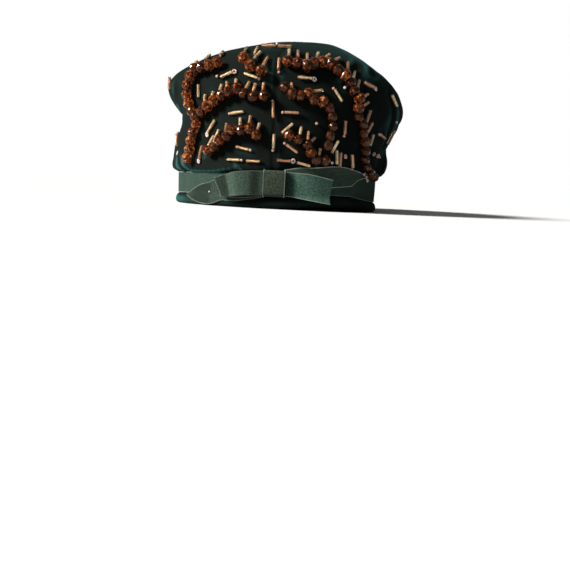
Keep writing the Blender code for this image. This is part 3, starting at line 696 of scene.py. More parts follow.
edges = []
ribbon_top = min(RIBBON_LOW + RIBBON_WIDTH, BAND_HEIGHT - CLEARANCE)
part = np.linspace(0, 1, RIBBON_COLUMNS + 1)[None, :]
ribbon_heights = ((RIBBON_LOW + arch(stations))[:, None] * (1 - part)
                  + (ribbon_top - sag(stations))[:, None] * part)
sway = np.array([noise.noise(Vector((cos(radians(t)) * 7, sin(radians(t)) * 7, 2.1)))
                 for t in stations])
ease = np.sin(np.linspace(0, pi, RIBBON_COLUMNS + 1))
ribbon_out = CLEARANCE + RIBBON_THICK / 2 + 0.0004 * np.abs(sway[:, None]) * ease[None, :]
ribbon_centre = band_point(stations[:, None], ribbon_out, ribbon_heights)
ribbon_front = band_point(stations[:, None], 1.0, ribbon_heights) - band_point(
    stations[:, None], 0.0, ribbon_heights)
ribbon_run = np.linalg.norm(np.diff(plan_point(np.append(stations, 360)), axis=0), axis=1)
ribbon_along = np.concatenate([[0], np.cumsum(ribbon_run)])
ribbon = strip_piece("ribbon_round_band", ribbon_centre, ribbon_front, WEAVE_THICK, ribbon_along,
                     RIBBON_WIDTH, caps=False, wrap_rows=True)
for side in (0, -1):
    edge = ribbon_centre[:, side] + ribbon_front[:, side] * WEAVE_THICK * EDGE_SET
    edges.append((np.concatenate([edge, edge[:1]]), "ribbon_round_band"))

knot_left = KNOT_OFFSET - KNOT_WIDTH / 2 - CLEARANCE
knot_right = KNOT_OFFSET + KNOT_WIDTH / 2 + CLEARANCE
left_leaf, left_leaf_along = bow_strip("bow_leaf_left", LEFT_LEAF_PATH, knot_left,
                                       -LEFT_LEAF_LENGTH, 0)
loop, loop_along = bow_strip("bow_loop", LOOP_PATH, knot_left, -LOOP_LENGTH, LOOP_LIFT, LOOP_PUFF)
right_leaf, right_leaf_along = bow_strip("bow_leaf_right", RIGHT_LEAF_PATH, knot_right,
                                         RIGHT_LEAF_LENGTH, 0)
tail, tail_along = bow_strip("bow_tail", TAIL_PATH, knot_right, TAIL_LENGTH, 0, TAIL_LIFT)

knot_low, knot_high = (RIBBON_LOW + RIBBON_WIDTH * edge for edge in KNOT_EDGES)
knot_line = spline(KNOT_PROFILE, np.linspace(0, len(KNOT_PROFILE) - 1, 70))
knot_across = azimuth_along(KNOT_OFFSET + KNOT_WIDTH * np.linspace(-0.5, 0.5, RIBBON_COLUMNS + 1))
knot_out = CLEARANCE + RIBBON_THICK + CLEARANCE + knot_line[:, 1] * KNOT_DEPTH - WEAVE_THICK / 2
knot_height = knot_low + (knot_high - knot_low) * knot_line[:, 0]
knot_centre = band_point(knot_across[None, :], knot_out[:, None], knot_height[:, None])
knot_run = np.gradient(knot_centre, axis=0)
knot_side = np.gradient(knot_centre, axis=1)
knot_front = np.cross(knot_side, knot_run)
knot_front /= np.linalg.norm(knot_front, axis=-1, keepdims=True)
knot_steps = np.linalg.norm(np.diff(knot_centre[:, 0], axis=0), axis=1)
knot_along = np.concatenate([[0], np.cumsum(knot_steps)])
knot = strip_piece("bow_knot_wrap", knot_centre, knot_front, WEAVE_THICK, knot_along, KNOT_WIDTH)
for side in (0, -1):
    edge = knot_centre[:, side] + knot_front[:, side] * WEAVE_THICK * KNOT_EDGE_SET
    edges.append((edge, "bow_knot_wrap"))

RIB_PITCH = 0.00075
GROSGRAIN_DARK = (0.0070, 0.0125, 0.0095, 1)
GROSGRAIN_LIGHT = (0.0400, 0.0790, 0.0600, 1)
# A greyer olive, blended in more on some cuts than on others
GROSGRAIN_OLIVE_DARK = (0.0095, 0.0120, 0.0085, 1)
GROSGRAIN_OLIVE = (0.0600, 0.0730, 0.0520, 1)
# Columns: distance from the knot, or from the loop's bend, and how pale the ribbon is painted
# there, as painted light and shade
BAND_SHADES = [(0.0, 0.23)]
# The left leaf: painted light by the loop's mouth, painted shade along its middle
LEAF_LIGHT_AND_SHADE = [(0.0240, 0.20), (0.0330, 0.20), (0.0385, 0.18), (0.0420, 0.02), (0.0560, 0.00),
               (0.0600, 0.06), (0.0670, 0.14)]
# The loop: a painted shadow inside its mouth by the bend, then painted light and shade in bands
# along its bulge
LOOP_LIGHT_AND_SHADE = [(-0.0010, 0.10), (0.0002, -0.05), (0.0080, -0.05), (0.0100, 0.42), (0.0140, 0.38),
               (0.0170, 0.30), (0.0225, 0.36), (0.0262, 0.02), (0.0290, 0.02), (0.0315, 0.20)]
RIGHT_LEAF_LIGHT_AND_SHADE = [(0.0, 0.33)]
# The tail: painted shade next to the knot, painted light beyond it
TAIL_LIGHT_AND_SHADE = [(0.0000, 0.15), (0.0045, 0.20), (0.0085, 0.95), (0.0325, 0.92)]
KNOT_LIGHT_AND_SHADE = [(0.0, 0.19)]
LOOP_BEND_ROW = 4


def grosgrain_weave(tree):
    """Ribs across the ribbon, speckled and streaked, lightened and darkened by painted light and
    shade from each cut's tone, and greyer olive on some cuts.
    """
    uv = tree.add("ShaderNodeUVMap", {"uv_map": "cloth"})
    split = tree.add("ShaderNodeSeparateXYZ", {}, {0: uv})
    along, across = split, split.other("Y")
    rib = tree.math("SINE", along * (2 * pi / RIB_PITCH))

    def grain(long, wide, fine):
        """Noise drawn out along or across the ribbon."""
        place = tree.add("ShaderNodeCombineXYZ", {}, {0: along * long, 1: across * wide})
        return tree.noise(place, 1.0, fine)

    streaks, shading, threads = grain(380, 40, 3.0), grain(90, 30, 2.0), grain(800, 700, 2.0)
    tone = tree.told("tone")
    # Each cut's tone is painted light and shade, and the pale share follows it
    light = tone * (streaks * 0.7 + shading * 0.6 + 0.35)
    speckle = threads * 2.2 + rib * 0.06 - 0.1
    aged = tree.told("aged") + shading * 0.8 - 0.4
    colour = tree.blend(tree.blend(GROSGRAIN_DARK, GROSGRAIN_LIGHT, light),
                        tree.blend(GROSGRAIN_OLIVE_DARK, GROSGRAIN_OLIVE, light), aged)
    colour = tree.add("ShaderNodeVectorMath", {"operation": "SCALE"}, {0: colour, "Scale": speckle})
    return {"Base Color": colour, "Roughness": 0.62 + streaks * 0.25,
            "Normal": tree.bump(rib * 0.5 + threads * 0.4, 0.00022, 0.8)}


grosgrain = make_finish("grosgrain", {
    "Sheen Weight": 0.02, "Sheen Roughness": 0.5, "Sheen Tint": (0.45, 0.75, 0.62, 1),
    "Specular IOR Level": 0.02}, grosgrain_weave)
from_bend = loop_along - loop_along[LOOP_BEND_ROW * STEPS_PER_ROW]
# Each cut of ribbon: its node, its width and length, the share of that rectangle that was cut, how
# it is held, what it lies on, its tones of painted light and shade from where they are measured,
# and how olive it is
CUTS = [
    (ribbon, "hatband_ribbon", RIBBON_WIDTH, ribbon_along, 0.93, "stretched", "headband",
     BAND_SHADES, ribbon_along[:-1], 0.15),
    (left_leaf, "bow_left_leaf", RIBBON_WIDTH, left_leaf_along, 0.72, "folded", "hatband_ribbon",
     LEAF_LIGHT_AND_SHADE, left_leaf_along, 0.40),
    (loop, "bow_left_loop", RIBBON_WIDTH, loop_along, 0.85, "folded", "bow_left_leaf",
     LOOP_LIGHT_AND_SHADE, from_bend, 0.45),
    (right_leaf, "bow_right_leaf", RIBBON_WIDTH, right_leaf_along, 0.62, "folded", "hatband_ribbon",
     RIGHT_LEAF_LIGHT_AND_SHADE, right_leaf_along, 0.45),
    (tail, "bow_right_tail", RIBBON_WIDTH, tail_along, 1.0, "folded", "bow_right_leaf",
     TAIL_LIGHT_AND_SHADE, tail_along, 0.00),
    (knot, "bow_knot", KNOT_WIDTH, knot_along, 1.0, "folded", "bow_left_loop",
     KNOT_LIGHT_AND_SHADE, knot_along, 0.85),
]
for piece, node, width, along, cut_share, held, under, shades, places, aged in CUTS:
    tones = np.repeat(np.interp(places, *np.transpose(shades)), 2 * (RIBBON_COLUMNS + 1))
    for label, values in (("tone", tones), ("aged", np.full(len(tones), aged))):
        piece.data.attributes.new(label, "FLOAT", "POINT").data.foreach_set("value", values)
    piece.data.materials.append(grosgrain)
    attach(piece, "root")
    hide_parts(node)
    cut_share * width * along[-1]


# Selvedge
# The ribbon's edges are finished in the weaving with small loops of a paler thread, close together,
# which show as a dotted line along every edge of the ribbon and the bow.
# The same dotted line is also laid along the loop's bend, as a painted highlight on the fold
PICOT_PITCH = 0.0015
PICOT_LENGTH = 0.00080
PICOT_THICK = 0.00070
# How bright the thread is on each cut of ribbon, partly painted light: brighter on the right leaf,
# which the key light reaches less, and brightest on the loop's bend, a painted highlight
PICOT_TONES = {"ribbon_round_band": 0.22, "bow_leaf_left": 0.28, "bow_loop": 0.34,
               "bow_loop_bend": 0.70, "bow_knot_wrap": 0.27, "bow_tail": 0.42,
               "bow_leaf_right": 0.75}


def node_group(name, inputs):
    """Empty Geometry Nodes group, with a geometry and named sizes going in and a geometry out."""
    group = bpy.data.node_groups.new(name, "GeometryNodeTree")
    group.interface.new_socket("Geometry", in_out="INPUT", socket_type="NodeSocketGeometry")
    for label, kind in inputs.items():
        group.interface.new_socket(label, in_out="INPUT", socket_type=f"NodeSocket{kind}")
    group.interface.new_socket("Geometry", in_out="OUTPUT", socket_type="NodeSocketGeometry")
    tree = Strand(group)
    return group, tree, tree.add("NodeGroupInput")


def finish_group(tree, copies, finish):
    """Close a group: instances made real, their finish set, and the result sent out."""
    real = tree.add("GeometryNodeRealizeInstances", {}, {"Geometry": copies})
    tree.add("NodeGroupOutput", {}, {"Geometry": tree.add(
        "GeometryNodeSetMaterial", {}, {"Geometry": real, "Material": finish})})


def grow(name, seeds, group, sizes):
    """Plain mesh piece of what a node group makes on a seed mesh."""
    item = bpy.data.objects.new(name, seeds)
    bpy.context.collection.objects.link(item)
    modifier = item.modifiers.new(group.name, "NODES")
    modifier.node_group = group
    for socket in group.interface.items_tree:
        if socket.in_out == "INPUT" and socket.name in sizes:
            modifier[socket.identifier] = sizes[socket.name]
    graph = bpy.context.evaluated_depsgraph_get()
    mesh = bpy.data.meshes.new_from_object(item.evaluated_get(graph), depsgraph=graph)
    item.modifiers.remove(modifier)
    item.data = mesh
    return item


def lines_mesh(name, lines):
    """Mesh of loose edges along some lines of points, each with a tone."""
    points, pairs, tones = [], [], []
    for line, tone in lines:
        first = len(points)
        points += [tuple(p + AXIS) for p in line]
        pairs += [(first + k, first + k + 1) for k in range(len(line) - 1)]
        tones += [tone] * len(line)
    mesh = bpy.data.meshes.new(name)
    mesh.from_pydata(points, pairs, [])
    mesh.attributes.new("tone", "FLOAT", "POINT").data.foreach_set("value", tones)
    return mesh


picots, tree, given = node_group("picot_loops", {"Pitch": "Float", "Length": "Float",
                                                 "Thickness": "Float", "Finish": "Material"})
curve = tree.add("GeometryNodeMeshToCurve", {}, {0: given.other("Geometry")})
spaced = tree.add("GeometryNodeResampleCurve", {"mode": "LENGTH"},
                  {"Curve": curve, "Length": given.other("Pitch")})
turn = tree.add("FunctionNodeAlignRotationToVector", {"axis": "Z"},
                {"Vector": tree.add("GeometryNodeInputTangent")})
loop_shape = tree.add("GeometryNodeMeshIcoSphere", {}, {"Radius": 0.5, "Subdivisions": 1})
size = tree.add("ShaderNodeCombineXYZ", {}, {
    0: given.other("Thickness"), 1: given.other("Thickness"), 2: given.other("Length")})
copies = tree.add("GeometryNodeInstanceOnPoints", {}, {"Points": spaced, "Instance": loop_shape,
                                                       "Rotation": turn, "Scale": size})
finish_group(tree, copies, given.other("Finish"))


def picot_thread(tree):
    """Pale thread, brighter on some cuts than on others, partly as painted light and a painted
    highlight.
    """
    place = tree.add("ShaderNodeTexCoord", out="Object")
    shade = tree.noise(place, 160, 2.0)
    tone = tree.told("tone")
    colour = tree.blend((0.020, 0.034, 0.027, 1), (0.440, 0.520, 0.440, 1), shade * tone * 1.6)
    return {"Base Color": colour, "Roughness": 0.55 + shade * 0.3}


picot_finish = make_finish("picot_thread", {"Sheen Weight": 0.3, "Specular IOR Level": 0.4},
                           picot_thread)
edge_lines = lines_mesh("edges", [(line, PICOT_TONES[cut]) for line, cut in edges])
selvedge = grow("ribbon_selvedge", edge_lines, picots, {
    "Pitch": PICOT_PITCH, "Length": PICOT_LENGTH, "Thickness": PICOT_THICK, "Finish": picot_finish})
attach(selvedge, "root")


# Bead strings
# Faceted rondelles of amber glass, 8 by 6 mm, threaded close together and sewn down in curved
# rows. A gold-lined bugle stands out from many of them, held by the same thread.
BEAD_DIAMETER = 0.0078
BEAD_LENGTH = 0.0062
BUGLE_DIAMETER = 0.0023
BUGLE_LENGTH = 0.0100
FOOT_RISE = 0.62
ROUTE_STEPS = 24
BEAD_SEAT = 0.0004
# The (azimuth, rise) points that each string passes, for each bugle on it the share of the string
# where it starts and the azimuth and rise of its tip, and the tones of the glass from its first
# bead to its last, from 0, smoky, to 1, bright orange
# The tones are partly painted light: the outer left string is painted brighter orange, where the
# key light falls, and the right strings darker
BEAD_STRINGS = {
    "bead_string_outer_left": (
        [(-26.4, 0.629), (-30, 0.613), (-33.9, 0.604), (-38.6, 0.599), (-40.6, 0.560),
         (-43.2, 0.522), (-45.4, 0.474), (-45.7, 0.415), (-44.4, 0.352), (-41.3, 0.307),
         (-40.7, 0.252), (-42.5, 0.213), (-44, 0.166), (-44.6, 0.121), (-44.4, 0.081),
         (-45.6, 0.058)],
        [(0.00, -35, 0.752), (0.12, -42, 0.735), (0.22, -46, 0.695)],
        [0.70, 0.30, 0.55, 0.75, 0.62, 0.85, 0.90, 0.70, 0.35, 0.80, 0.60, 0.95, 0.90, 1.00],
    ),
    "bead_string_middle_left": (
        [(-37.4, 0.347), (-35, 0.366), (-31.9, 0.390), (-28.3, 0.415), (-24.5, 0.442),
         (-21.6, 0.452), (-17.9, 0.469), (-15.7, 0.441), (-13.5, 0.427), (-10.7, 0.421),
         (-6.9, 0.425)],
        [(0.11, -35.4, 0.454), (0.22, -30.4, 0.467), (0.35, -25.4, 0.507), (0.46, -22.7, 0.524),
         (0.57, -18.4, 0.539), (0.80, -12.6, 0.522), (0.90, -10.3, 0.510), (1.00, -6.9, 0.515)],
        [0.45, 0.70, 0.78, 0.50, 0.42, 0.45, 0.30, 0.20, 0.40, 0.50],
    ),
    "bead_string_inner_left": (
        [(-32, 0.100), (-29.2, 0.115), (-26.1, 0.154), (-22.5, 0.183), (-20.4, 0.222),
         (-16.1, 0.217), (-12.4, 0.237), (-9.1, 0.193)],
        [(0.00, -30.3, 0.196), (0.16, -27.9, 0.233), (0.45, -24.2, 0.269), (0.66, -17.4, 0.300),
         (0.82, -12.7, 0.315), (1.00, -8.4, 0.272)],
        [0.62, 0.45, 0.58, 0.25, 0.60, 0.30, 0.60, 0.50],
    ),
    "bead_string_top_left": (
        [(-15.3, 0.647), (-12.9, 0.615), (-10.4, 0.588), (-7.6, 0.569)],
        [(0.00, -22.8, 0.773), (0.35, -15.1, 0.760), (0.65, -11.2, 0.721), (1.00, -6.6, 0.681)],
        [0.80, 0.68, 0.60],
    ),
    "bead_string_outer_right": (
        [(1.5, 0.636), (4.8, 0.629), (8.1, 0.617), (12, 0.643), (16.4, 0.656), (19, 0.626),
         (21.8, 0.599), (25.1, 0.569), (26.1, 0.516), (28.9, 0.460), (29, 0.404), (30.6, 0.360),
         (34.2, 0.320), (36.4, 0.264), (38.9, 0.197), (40.1, 0.124), (42.2, 0.072), (46.6, 0.033),
         (53.4, 0.023)],
        [(0.00, 0.5, 0.760), (0.06, 4.2, 0.755), (0.11, 8.4, 0.735), (0.16, 13.7, 0.758),
         (0.21, 19.2, 0.757), (0.26, 23.7, 0.737), (0.31, 27.3, 0.703), (0.36, 30.6, 0.659),
         (0.41, 31.1, 0.593), (0.46, 34.3, 0.512), (0.53, 34.6, 0.462), (0.60, 36.6, 0.413),
         (0.68, 40.7, 0.344), (0.76, 45, 0.275)],
        [0.52, 0.38, 0.30, 0.40, 0.66, 0.50, 0.25, 0.82, 0.10, 0.20, 0.60, 0.40, 0.22, 0.30,
         0.45, 0.50, 0.25, 0.20, 0.28, 0.22, 0.40, 0.30],
    ),
    "bead_string_middle_right": (
        [(0.8, 0.478), (3.1, 0.447), (5.7, 0.433), (8.5, 0.460), (10.7, 0.418), (14.7, 0.413),
         (17.7, 0.378), (19.2, 0.329), (20.1, 0.278), (19.7, 0.232), (19.9, 0.193), (19.5, 0.165)],
        [(0.13, 3, 0.524), (0.34, 14.2, 0.495)],
        [0.06, 0.40, 0.45, 0.62, 0.30, 0.92, 0.50, 0.35, 0.22, 0.18, 0.15, 0.10, 0.10],
    ),
    "bead_string_inner_right": (
        [(3.4, 0.207), (7.2, 0.184), (9.6, 0.163), (12.3, 0.143), (12.7, 0.101), (15.3, 0.071),
         (19, 0.075)],
        [(0.20, 8, 0.264), (0.34, 11, 0.240), (0.50, 14.1, 0.205), (0.78, 17, 0.142)],
        [0.62, 0.22, 0.15, 0.55, 0.20, 0.45, 0.15],
    ),
}
# Strings that end in smaller beads, and the share of the string where these begin
SMALL_FROM = {"bead_string_outer_right": 0.50, "bead_string_middle_right": 0.52}
SMALL_SHARE = 0.84
# How unevenly the beads are threaded: in place, in metres, and in the two directions of each
THREAD_SLIP = 0.0003
BEAD_TILT = 0.30
BEAD_TURN = 0.8
chance = np.random.default_rng(11)


def crown_frame(azimuth, rise):
    """Directions across, up and out of the crown at a point."""
    low, high = max(rise - 0.01, 0), min(rise + 0.01, 0.995)
    across = Vector(crown_surface(azimuth + 2, rise) - crown_surface(azimuth - 2, rise))
    up = Vector(crown_surface(azimuth, high) - crown_surface(azimuth, low)).normalized()
    across.normalize()
    return across, up, across.cross(up).normalized()


def crown_place(azimuth, rise):
    """A point on the crown, in the hat's frame."""
    return Vector(crown_surface(azimuth, rise) + AXIS)


def seated(point, out, reach):
    """A point moved along out until it is a reach above the velvet."""
    start = point + out * 0.03
    hit = skin_tree.ray_cast(start, -out, 0.06)
    return (hit[0] if hit[0] else point) + out * reach


def rod_seated(start, end, out, reach, hold_start):
    """Ends of a rod that clears the velvet all along."""
    for _ in range(10):
        short = 0.0
        for n in range(9):
            share = n / 8
            if share > 0.2 or not hold_start:
                point = start.lerp(end, share)
                near, _, _, apart = skin_tree.find_nearest(point)
                level = apart if (point - near).dot(out) > 0 else -apart
                short = max(short, (reach - level) / (max(share, 0.3) if hold_start else 1))
        if short <= 0:
            break
        end = end + out * short
        if not hold_start:
            start = start + out * short
    return start, end


def beads_on(route):
    """Centres, directions along and directions out of the beads on a route."""
    places = spline(route, np.arange(ROUTE_STEPS * (len(route) - 1) + 1) / ROUTE_STEPS)
    line, outs = [], []
    for azimuth, rise in places:
        out = crown_frame(azimuth, rise)[2]
        line.append(seated(crown_place(azimuth, rise), out, BEAD_DIAMETER / 2 + BEAD_SEAT))
        outs.append(out)
    lengths = np.concatenate([[0], np.cumsum([(b - a).length for a, b in zip(line, line[1:])])])
    count = max(int(lengths[-1] / BEAD_LENGTH) + 1, 2)
    picks = [int(np.argmin(np.abs(lengths - lengths[-1] * n / (count - 1)))) for n in range(count)]
    beads = []
    for n, k in enumerate(picks):
        before, after = picks[max(n - 1, 0)], picks[min(n + 1, count - 1)]
        beads.append((line[k], (line[after] - line[before]).normalized(), outs[k]))
    return beads


def seed_mesh(name, seeds):
    """Points that carry how a copy lies, from rows of its place, along, out, size and tone."""
    mesh = bpy.data.meshes.new(name)
    mesh.from_pydata([tuple(row[0]) for row in seeds], [], [])
    for column, label in enumerate(("along", "out", "size"), 1):
        target = mesh.attributes.new(label, "FLOAT_VECTOR", "POINT")
        target.data.foreach_set("vector", np.ravel([tuple(row[column]) for row in seeds]))
    tones = [row[4] for row in seeds]
    mesh.attributes.new("tone", "FLOAT", "POINT").data.foreach_set("value", tones)
    return mesh


def lathe(name, profile, sides, twist=0.0):
    """Turned shape about Z from (radius, height) rows, each ring turned on by twist of a side."""
    points, faces = [], []
    for row, (radius, height) in enumerate(profile):
        for k in range(sides):
            turn = 2 * pi * (k + twist * (row % 2)) / sides
            points.append((radius * cos(turn), radius * sin(turn), height))
    rows = len(profile)
    for row in range(rows):
        near, far = row * sides, (row + 1) % rows * sides
        for k in range(sides):
            a, b, c, d = near + k, near + (k + 1) % sides, far + (k + 1) % sides, far + k
            if twist and row % 2 == 0:
                faces += [(a, b, d), (b, c, d)]
            elif twist:
                faces += [(a, b, c), (a, c, d)]
            else:
                faces.append((a, b, c, d))
    item = add_piece(name, points, faces, sharp=0)
    bpy.context.collection.objects.unlink(item)
    return item


# A rondelle for a bead one unit across and one long: a belt of triangular facets, drilled
rondelle = lathe("rondelle", [(0.14, -0.42), (0.27, -0.50), (0.39, -0.36), (0.475, -0.16),
                              (0.50, 0.0), (0.475, 0.16), (0.39, 0.36), (0.27, 0.50), (0.14, 0.42),
                              (0.13, 0.0)], 14, twist=0.5)
rondelle.data.shade_flat()
# How bright each cut face is painted: painted glints and glow of light in the glass, the same on
# every bead
facets = rondelle.data.attributes.new("facet", "FLOAT", "FACE")
facet_glint_tones = np.random.default_rng(3).uniform(0, 1, len(rondelle.data.polygons))
facets.data.foreach_set("value", facet_glint_tones)

threaded, tree, given = node_group("threaded_beads", {"Bead": "Object", "Finish": "Material"})
bead = tree.add("GeometryNodeObjectInfo", {}, {"Object": given.other("Bead")}, "Geometry")


def told(label, kind="FLOAT_VECTOR"):
    """A value that each seed point carries."""
    return tree.add("GeometryNodeInputNamedAttribute", {"data_type": kind}, {"Name": label})


lie = tree.add("FunctionNodeAlignRotationToVector", {"axis": "Z"}, {"Vector": told("along")})
lie = tree.add("FunctionNodeAlignRotationToVector", {"axis": "X", "pivot_axis": "Z"},
               {"Rotation": lie, "Vector": told("out")})
copies = tree.add("GeometryNodeInstanceOnPoints", {}, {
    "Points": given.other("Geometry"), "Instance": bead, "Rotation": lie, "Scale": told("size")})
finish_group(tree, copies, given.other("Finish"))


def amber_glass(tree):
    """Amber from smoky to bright orange, clouded, with painted glints and glow on some cut faces
    and dark on others.
    """
    place = tree.add("ShaderNodeTexCoord", out="Object")
    tone = tree.told("tone")
    facet = tree.told("facet")
    clouds = tree.noise(place, 420, 3.0)
    depth = tone * 0.65 + clouds * 0.8 + facet * 1.0 - 0.98
    # The pale top stops are painted glints and glow of light through the glass
    colour = tree.add("ShaderNodeValToRGB", {"stops": [
        (0.00, (0.020, 0.010, 0.008)), (0.25, (0.060, 0.019, 0.010)), (0.45, (0.17, 0.036, 0.009)),
        (0.65, (0.56, 0.110, 0.012)), (0.85, (0.95, 0.27, 0.028)), (1.00, (1.00, 0.60, 0.26))]},
        {"Fac": depth})
    return {"Base Color": colour, "Roughness": 0.04 + clouds * 0.12}


glass_finish = make_finish("amber_glass", {"Transmission Weight": 0.80, "IOR": 1.42,
                                          "Specular Tint": (1.0, 0.55, 0.32, 1)}, amber_glass)


def jitter(amount):
    """A small push any way."""
    return Vector(chance.uniform(-amount, amount, 3))


rods = []
for string, (route, tips, tones) in BEAD_STRINGS.items():
    beads = beads_on(route)
    seeds = []
    for n, (place, along, out) in enumerate(beads):
        width = BEAD_DIAMETER * chance.uniform(0.93, 1.06)
        if string in SMALL_FROM and n > SMALL_FROM[string] * len(beads):
            width *= SMALL_SHARE
        seeds.append((place + jitter(THREAD_SLIP), (along + jitter(BEAD_TILT)).normalized(),
                      (out + jitter(BEAD_TURN)).normalized(),
                      (width, width, BEAD_LENGTH * chance.uniform(0.96, 1.10)),
                      tones[n * len(tones) // len(beads)]))
    piece = grow(f"{string}_glass", seed_mesh(string, seeds), threaded,
                 {"Bead": rondelle, "Finish": glass_finish})
    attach(piece, "root")
    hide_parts(string)
    for share, azimuth, rise in tips:
        centre, _, out = beads[round(share * (len(beads) - 1))]
        tip_out = crown_frame(azimuth, rise)[2]
        tip = seated(crown_place(azimuth, rise), tip_out, BUGLE_DIAMETER / 2)
        foot = centre + out * BEAD_DIAMETER / 2 * FOOT_RISE
        foot, tip = rod_seated(foot, tip, tip_out, BUGLE_DIAMETER / 2, True)
        foot = tip + (foot - tip).normalized() * min((foot - tip).length, BUGLE_LENGTH * 1.15)
        rods.append((foot, tip, tip_out))


# Bugles
# Cut tubes of clear amber glass, 10 mm long, with a bright gold lining. The loose ones are sewn
# flat on the velvet, each by a thread through it.
BUGLE_SIDES = 10
BUGLE_BORE = 0.36
LINING_SHARE = 0.50
bugle_nodes = sorted(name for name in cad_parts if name.startswith("bugle_"))
loose = {}
for name in bugle_nodes:
    corners = np.array([v.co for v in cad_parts[name].data.vertices])
    middle = corners.mean(axis=0)
    _, _, axes = np.linalg.svd(corners - middle)
    reach = np.abs((corners - middle) @ axes[0]).max()
    start, end = Vector(middle - axes[0] * reach), Vector(middle + axes[0] * reach)
    normal = skin_tree.find_nearest(Vector(middle))[1]
    loose[name] = (*rod_seated(start, end, normal, BUGLE_DIAMETER / 2, False), normal)
rods += list(loose.values())
bugle_seeds = [((start + end) / 2, (end - start).normalized(), out,
                (BUGLE_DIAMETER, BUGLE_DIAMETER, (end - start).length), chance.uniform(0, 1))
               for start, end, out in rods]

tube = lathe("tube", [(0.42, -0.500), (0.50, -0.485), (0.50, 0.485), (0.42, 0.500),
                      (BUGLE_BORE / 2, 0.500), (BUGLE_BORE / 2, -0.500)], BUGLE_SIDES)
lining_tube = lathe("lining_tube", [(LINING_SHARE / 2, -0.450), (LINING_SHARE / 2, 0.450),
                                    (BUGLE_BORE / 2 * 1.1, 0.450), (BUGLE_BORE / 2 * 1.1, -0.450)],
                    BUGLE_SIDES)
for shape in (tube, lining_tube):
    shape.data.shade_smooth()
    shape.data.set_sharp_from_angle(angle=radians(50))


def clear_amber(tree):
    """Clear glass, tinted a little more on some bugles."""
    tint = tree.blend((0.95, 0.82, 0.60, 1), (0.85, 0.62, 0.44, 1), tree.told("tone"))
    return {"Base Color": tint}


def gold_lining(tree):
    """Gold from pale to copper, worn through in specks."""
    tone = tree.told("tone")
    place = tree.add("ShaderNodeTexCoord", out="Object")
    worn = tree.noise(place, 500, 2.0)
    gold = tree.add("ShaderNodeValToRGB", {"stops": [
        (0.0, (1.00, 0.92, 0.74)), (0.3, (0.96, 0.80, 0.56)), (0.6, (0.84, 0.60, 0.36)),
        (0.85, (0.84, 0.56, 0.44)), (1.0, (0.46, 0.25, 0.14))]}, {"Fac": tone})
    return {"Base Color": tree.blend(gold, (0.25, 0.11, 0.04, 1), worn ** 3 * 2.2),
            "Roughness": 0.28 + worn * 0.25}


tube_finish = make_finish("bugle_glass", {
    "Transmission Weight": 1.0, "IOR": 1.5, "Roughness": 0.04}, clear_amber)
gold_finish = make_finish("bugle_lining", {"Metallic": 0.7}, gold_lining)
bugle_glass = grow("bugles_glass", seed_mesh("bugle_seeds", bugle_seeds), threaded,
                   {"Bead": tube, "Finish": tube_finish})
bugle_gold = grow("bugles_lining", seed_mesh("lining_seeds", bugle_seeds), threaded,
                  {"Bead": lining_tube, "Finish": gold_finish})
for piece in (bugle_glass, bugle_gold):
    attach(piece, "root")
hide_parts(*bugle_nodes)


# Seed and ring beads
# Small pearly rings and clear seed beads of glass, sewn at the ends of many bugles to hold them,
# and a few on their own between the strings, on the bow's left leaf and at its right point.
RING_DIAMETER = 0.0036
SEED_DIAMETER = 0.0021
# As shares of a bead's diameter: how far it lies beyond a bugle's end, and how high it sits
RING_BEYOND = 0.42
RING_SEAT = 0.26
LONE_RING_SEAT = 0.30
SEED_SEAT = 0.45
ON_BOW_TONE = 0.05
# Bugles with a ring or a seed at an end: 1 is the end to the upper right, -1 the other
RINGS_AT = {"bugle_01": 1, "bugle_04": -1, "bugle_05": -1, "bugle_16": 1, "bugle_19": 1,
            "bugle_21": 1}
SEEDS_AT = {"bugle_03": -1, "bugle_06": 1, "bugle_07": 1, "bugle_13": -1, "bugle_14": 1,
            "bugle_15": -1, "bugle_17": -1, "bugle_18": -1, "bugle_23": -1, "bugle_28": -1,
            "bugle_29": -1, "bugle_30": -1, "bugle_31": 1, "bugle_10": 1, "bugle_24": 1}
# Beads on their own, as (azimuth, rise, tone): tone is 0 for clear and 1 for dark amber
LONE_RINGS = [(53.9, 0.144, 0.4), (-61.2, 0.096, 0.1), (-17.0, 0.240, 0.2), (7.8, 0.670, 0.9),
              (49.3, 0.150, 0.8), (29.9, 0.108, 0.3), (58.0, 0.032, 0.0), (62.4, 0.013, 0.1)]
LONE_SEEDS = [(23.4, 0.529, 0.0), (19.5, 0.150, 0.0), (59.4, 0.396, 0.2), (13.9, 0.290, 0.6),
              (20.7, 0.152, 0.0), (23.4, 0.060, 0.1), (58.1, 0.143, 0.7), (-8.7, 0.814, 0.1),
              (-27.0, 0.559, 0.4), (57.0, 0.020, 0.0)]
# Beads on the bow, as (azimuth, height, distance out of the headband, diameter)
BOW_SEEDS = [(-33.0, 0.0098, 0.0026, SEED_DIAMETER * 0.62)]
BOW_RINGS = [(47.0, 0.0288, 0.0036, RING_DIAMETER * 0.85),
             (49.5, 0.0268, 0.0036, RING_DIAMETER * 0.95),
             (50.5, 0.0244, 0.0036, RING_DIAMETER * 0.80)]

torus_rows = [(0.34 + 0.16 * cos(2 * pi * k / 8), 0.16 * sin(2 * pi * k / 8)) for k in range(8)]
ring_shape = lathe("ring_shape", torus_rows, 12)
ring_shape.data.shade_smooth()
seed_shape = lathe("seed_shape", [(0.14, -0.34), (0.32, -0.40), (0.48, -0.20), (0.48, 0.20),
                                  (0.32, 0.40), (0.14, 0.34)], 8)


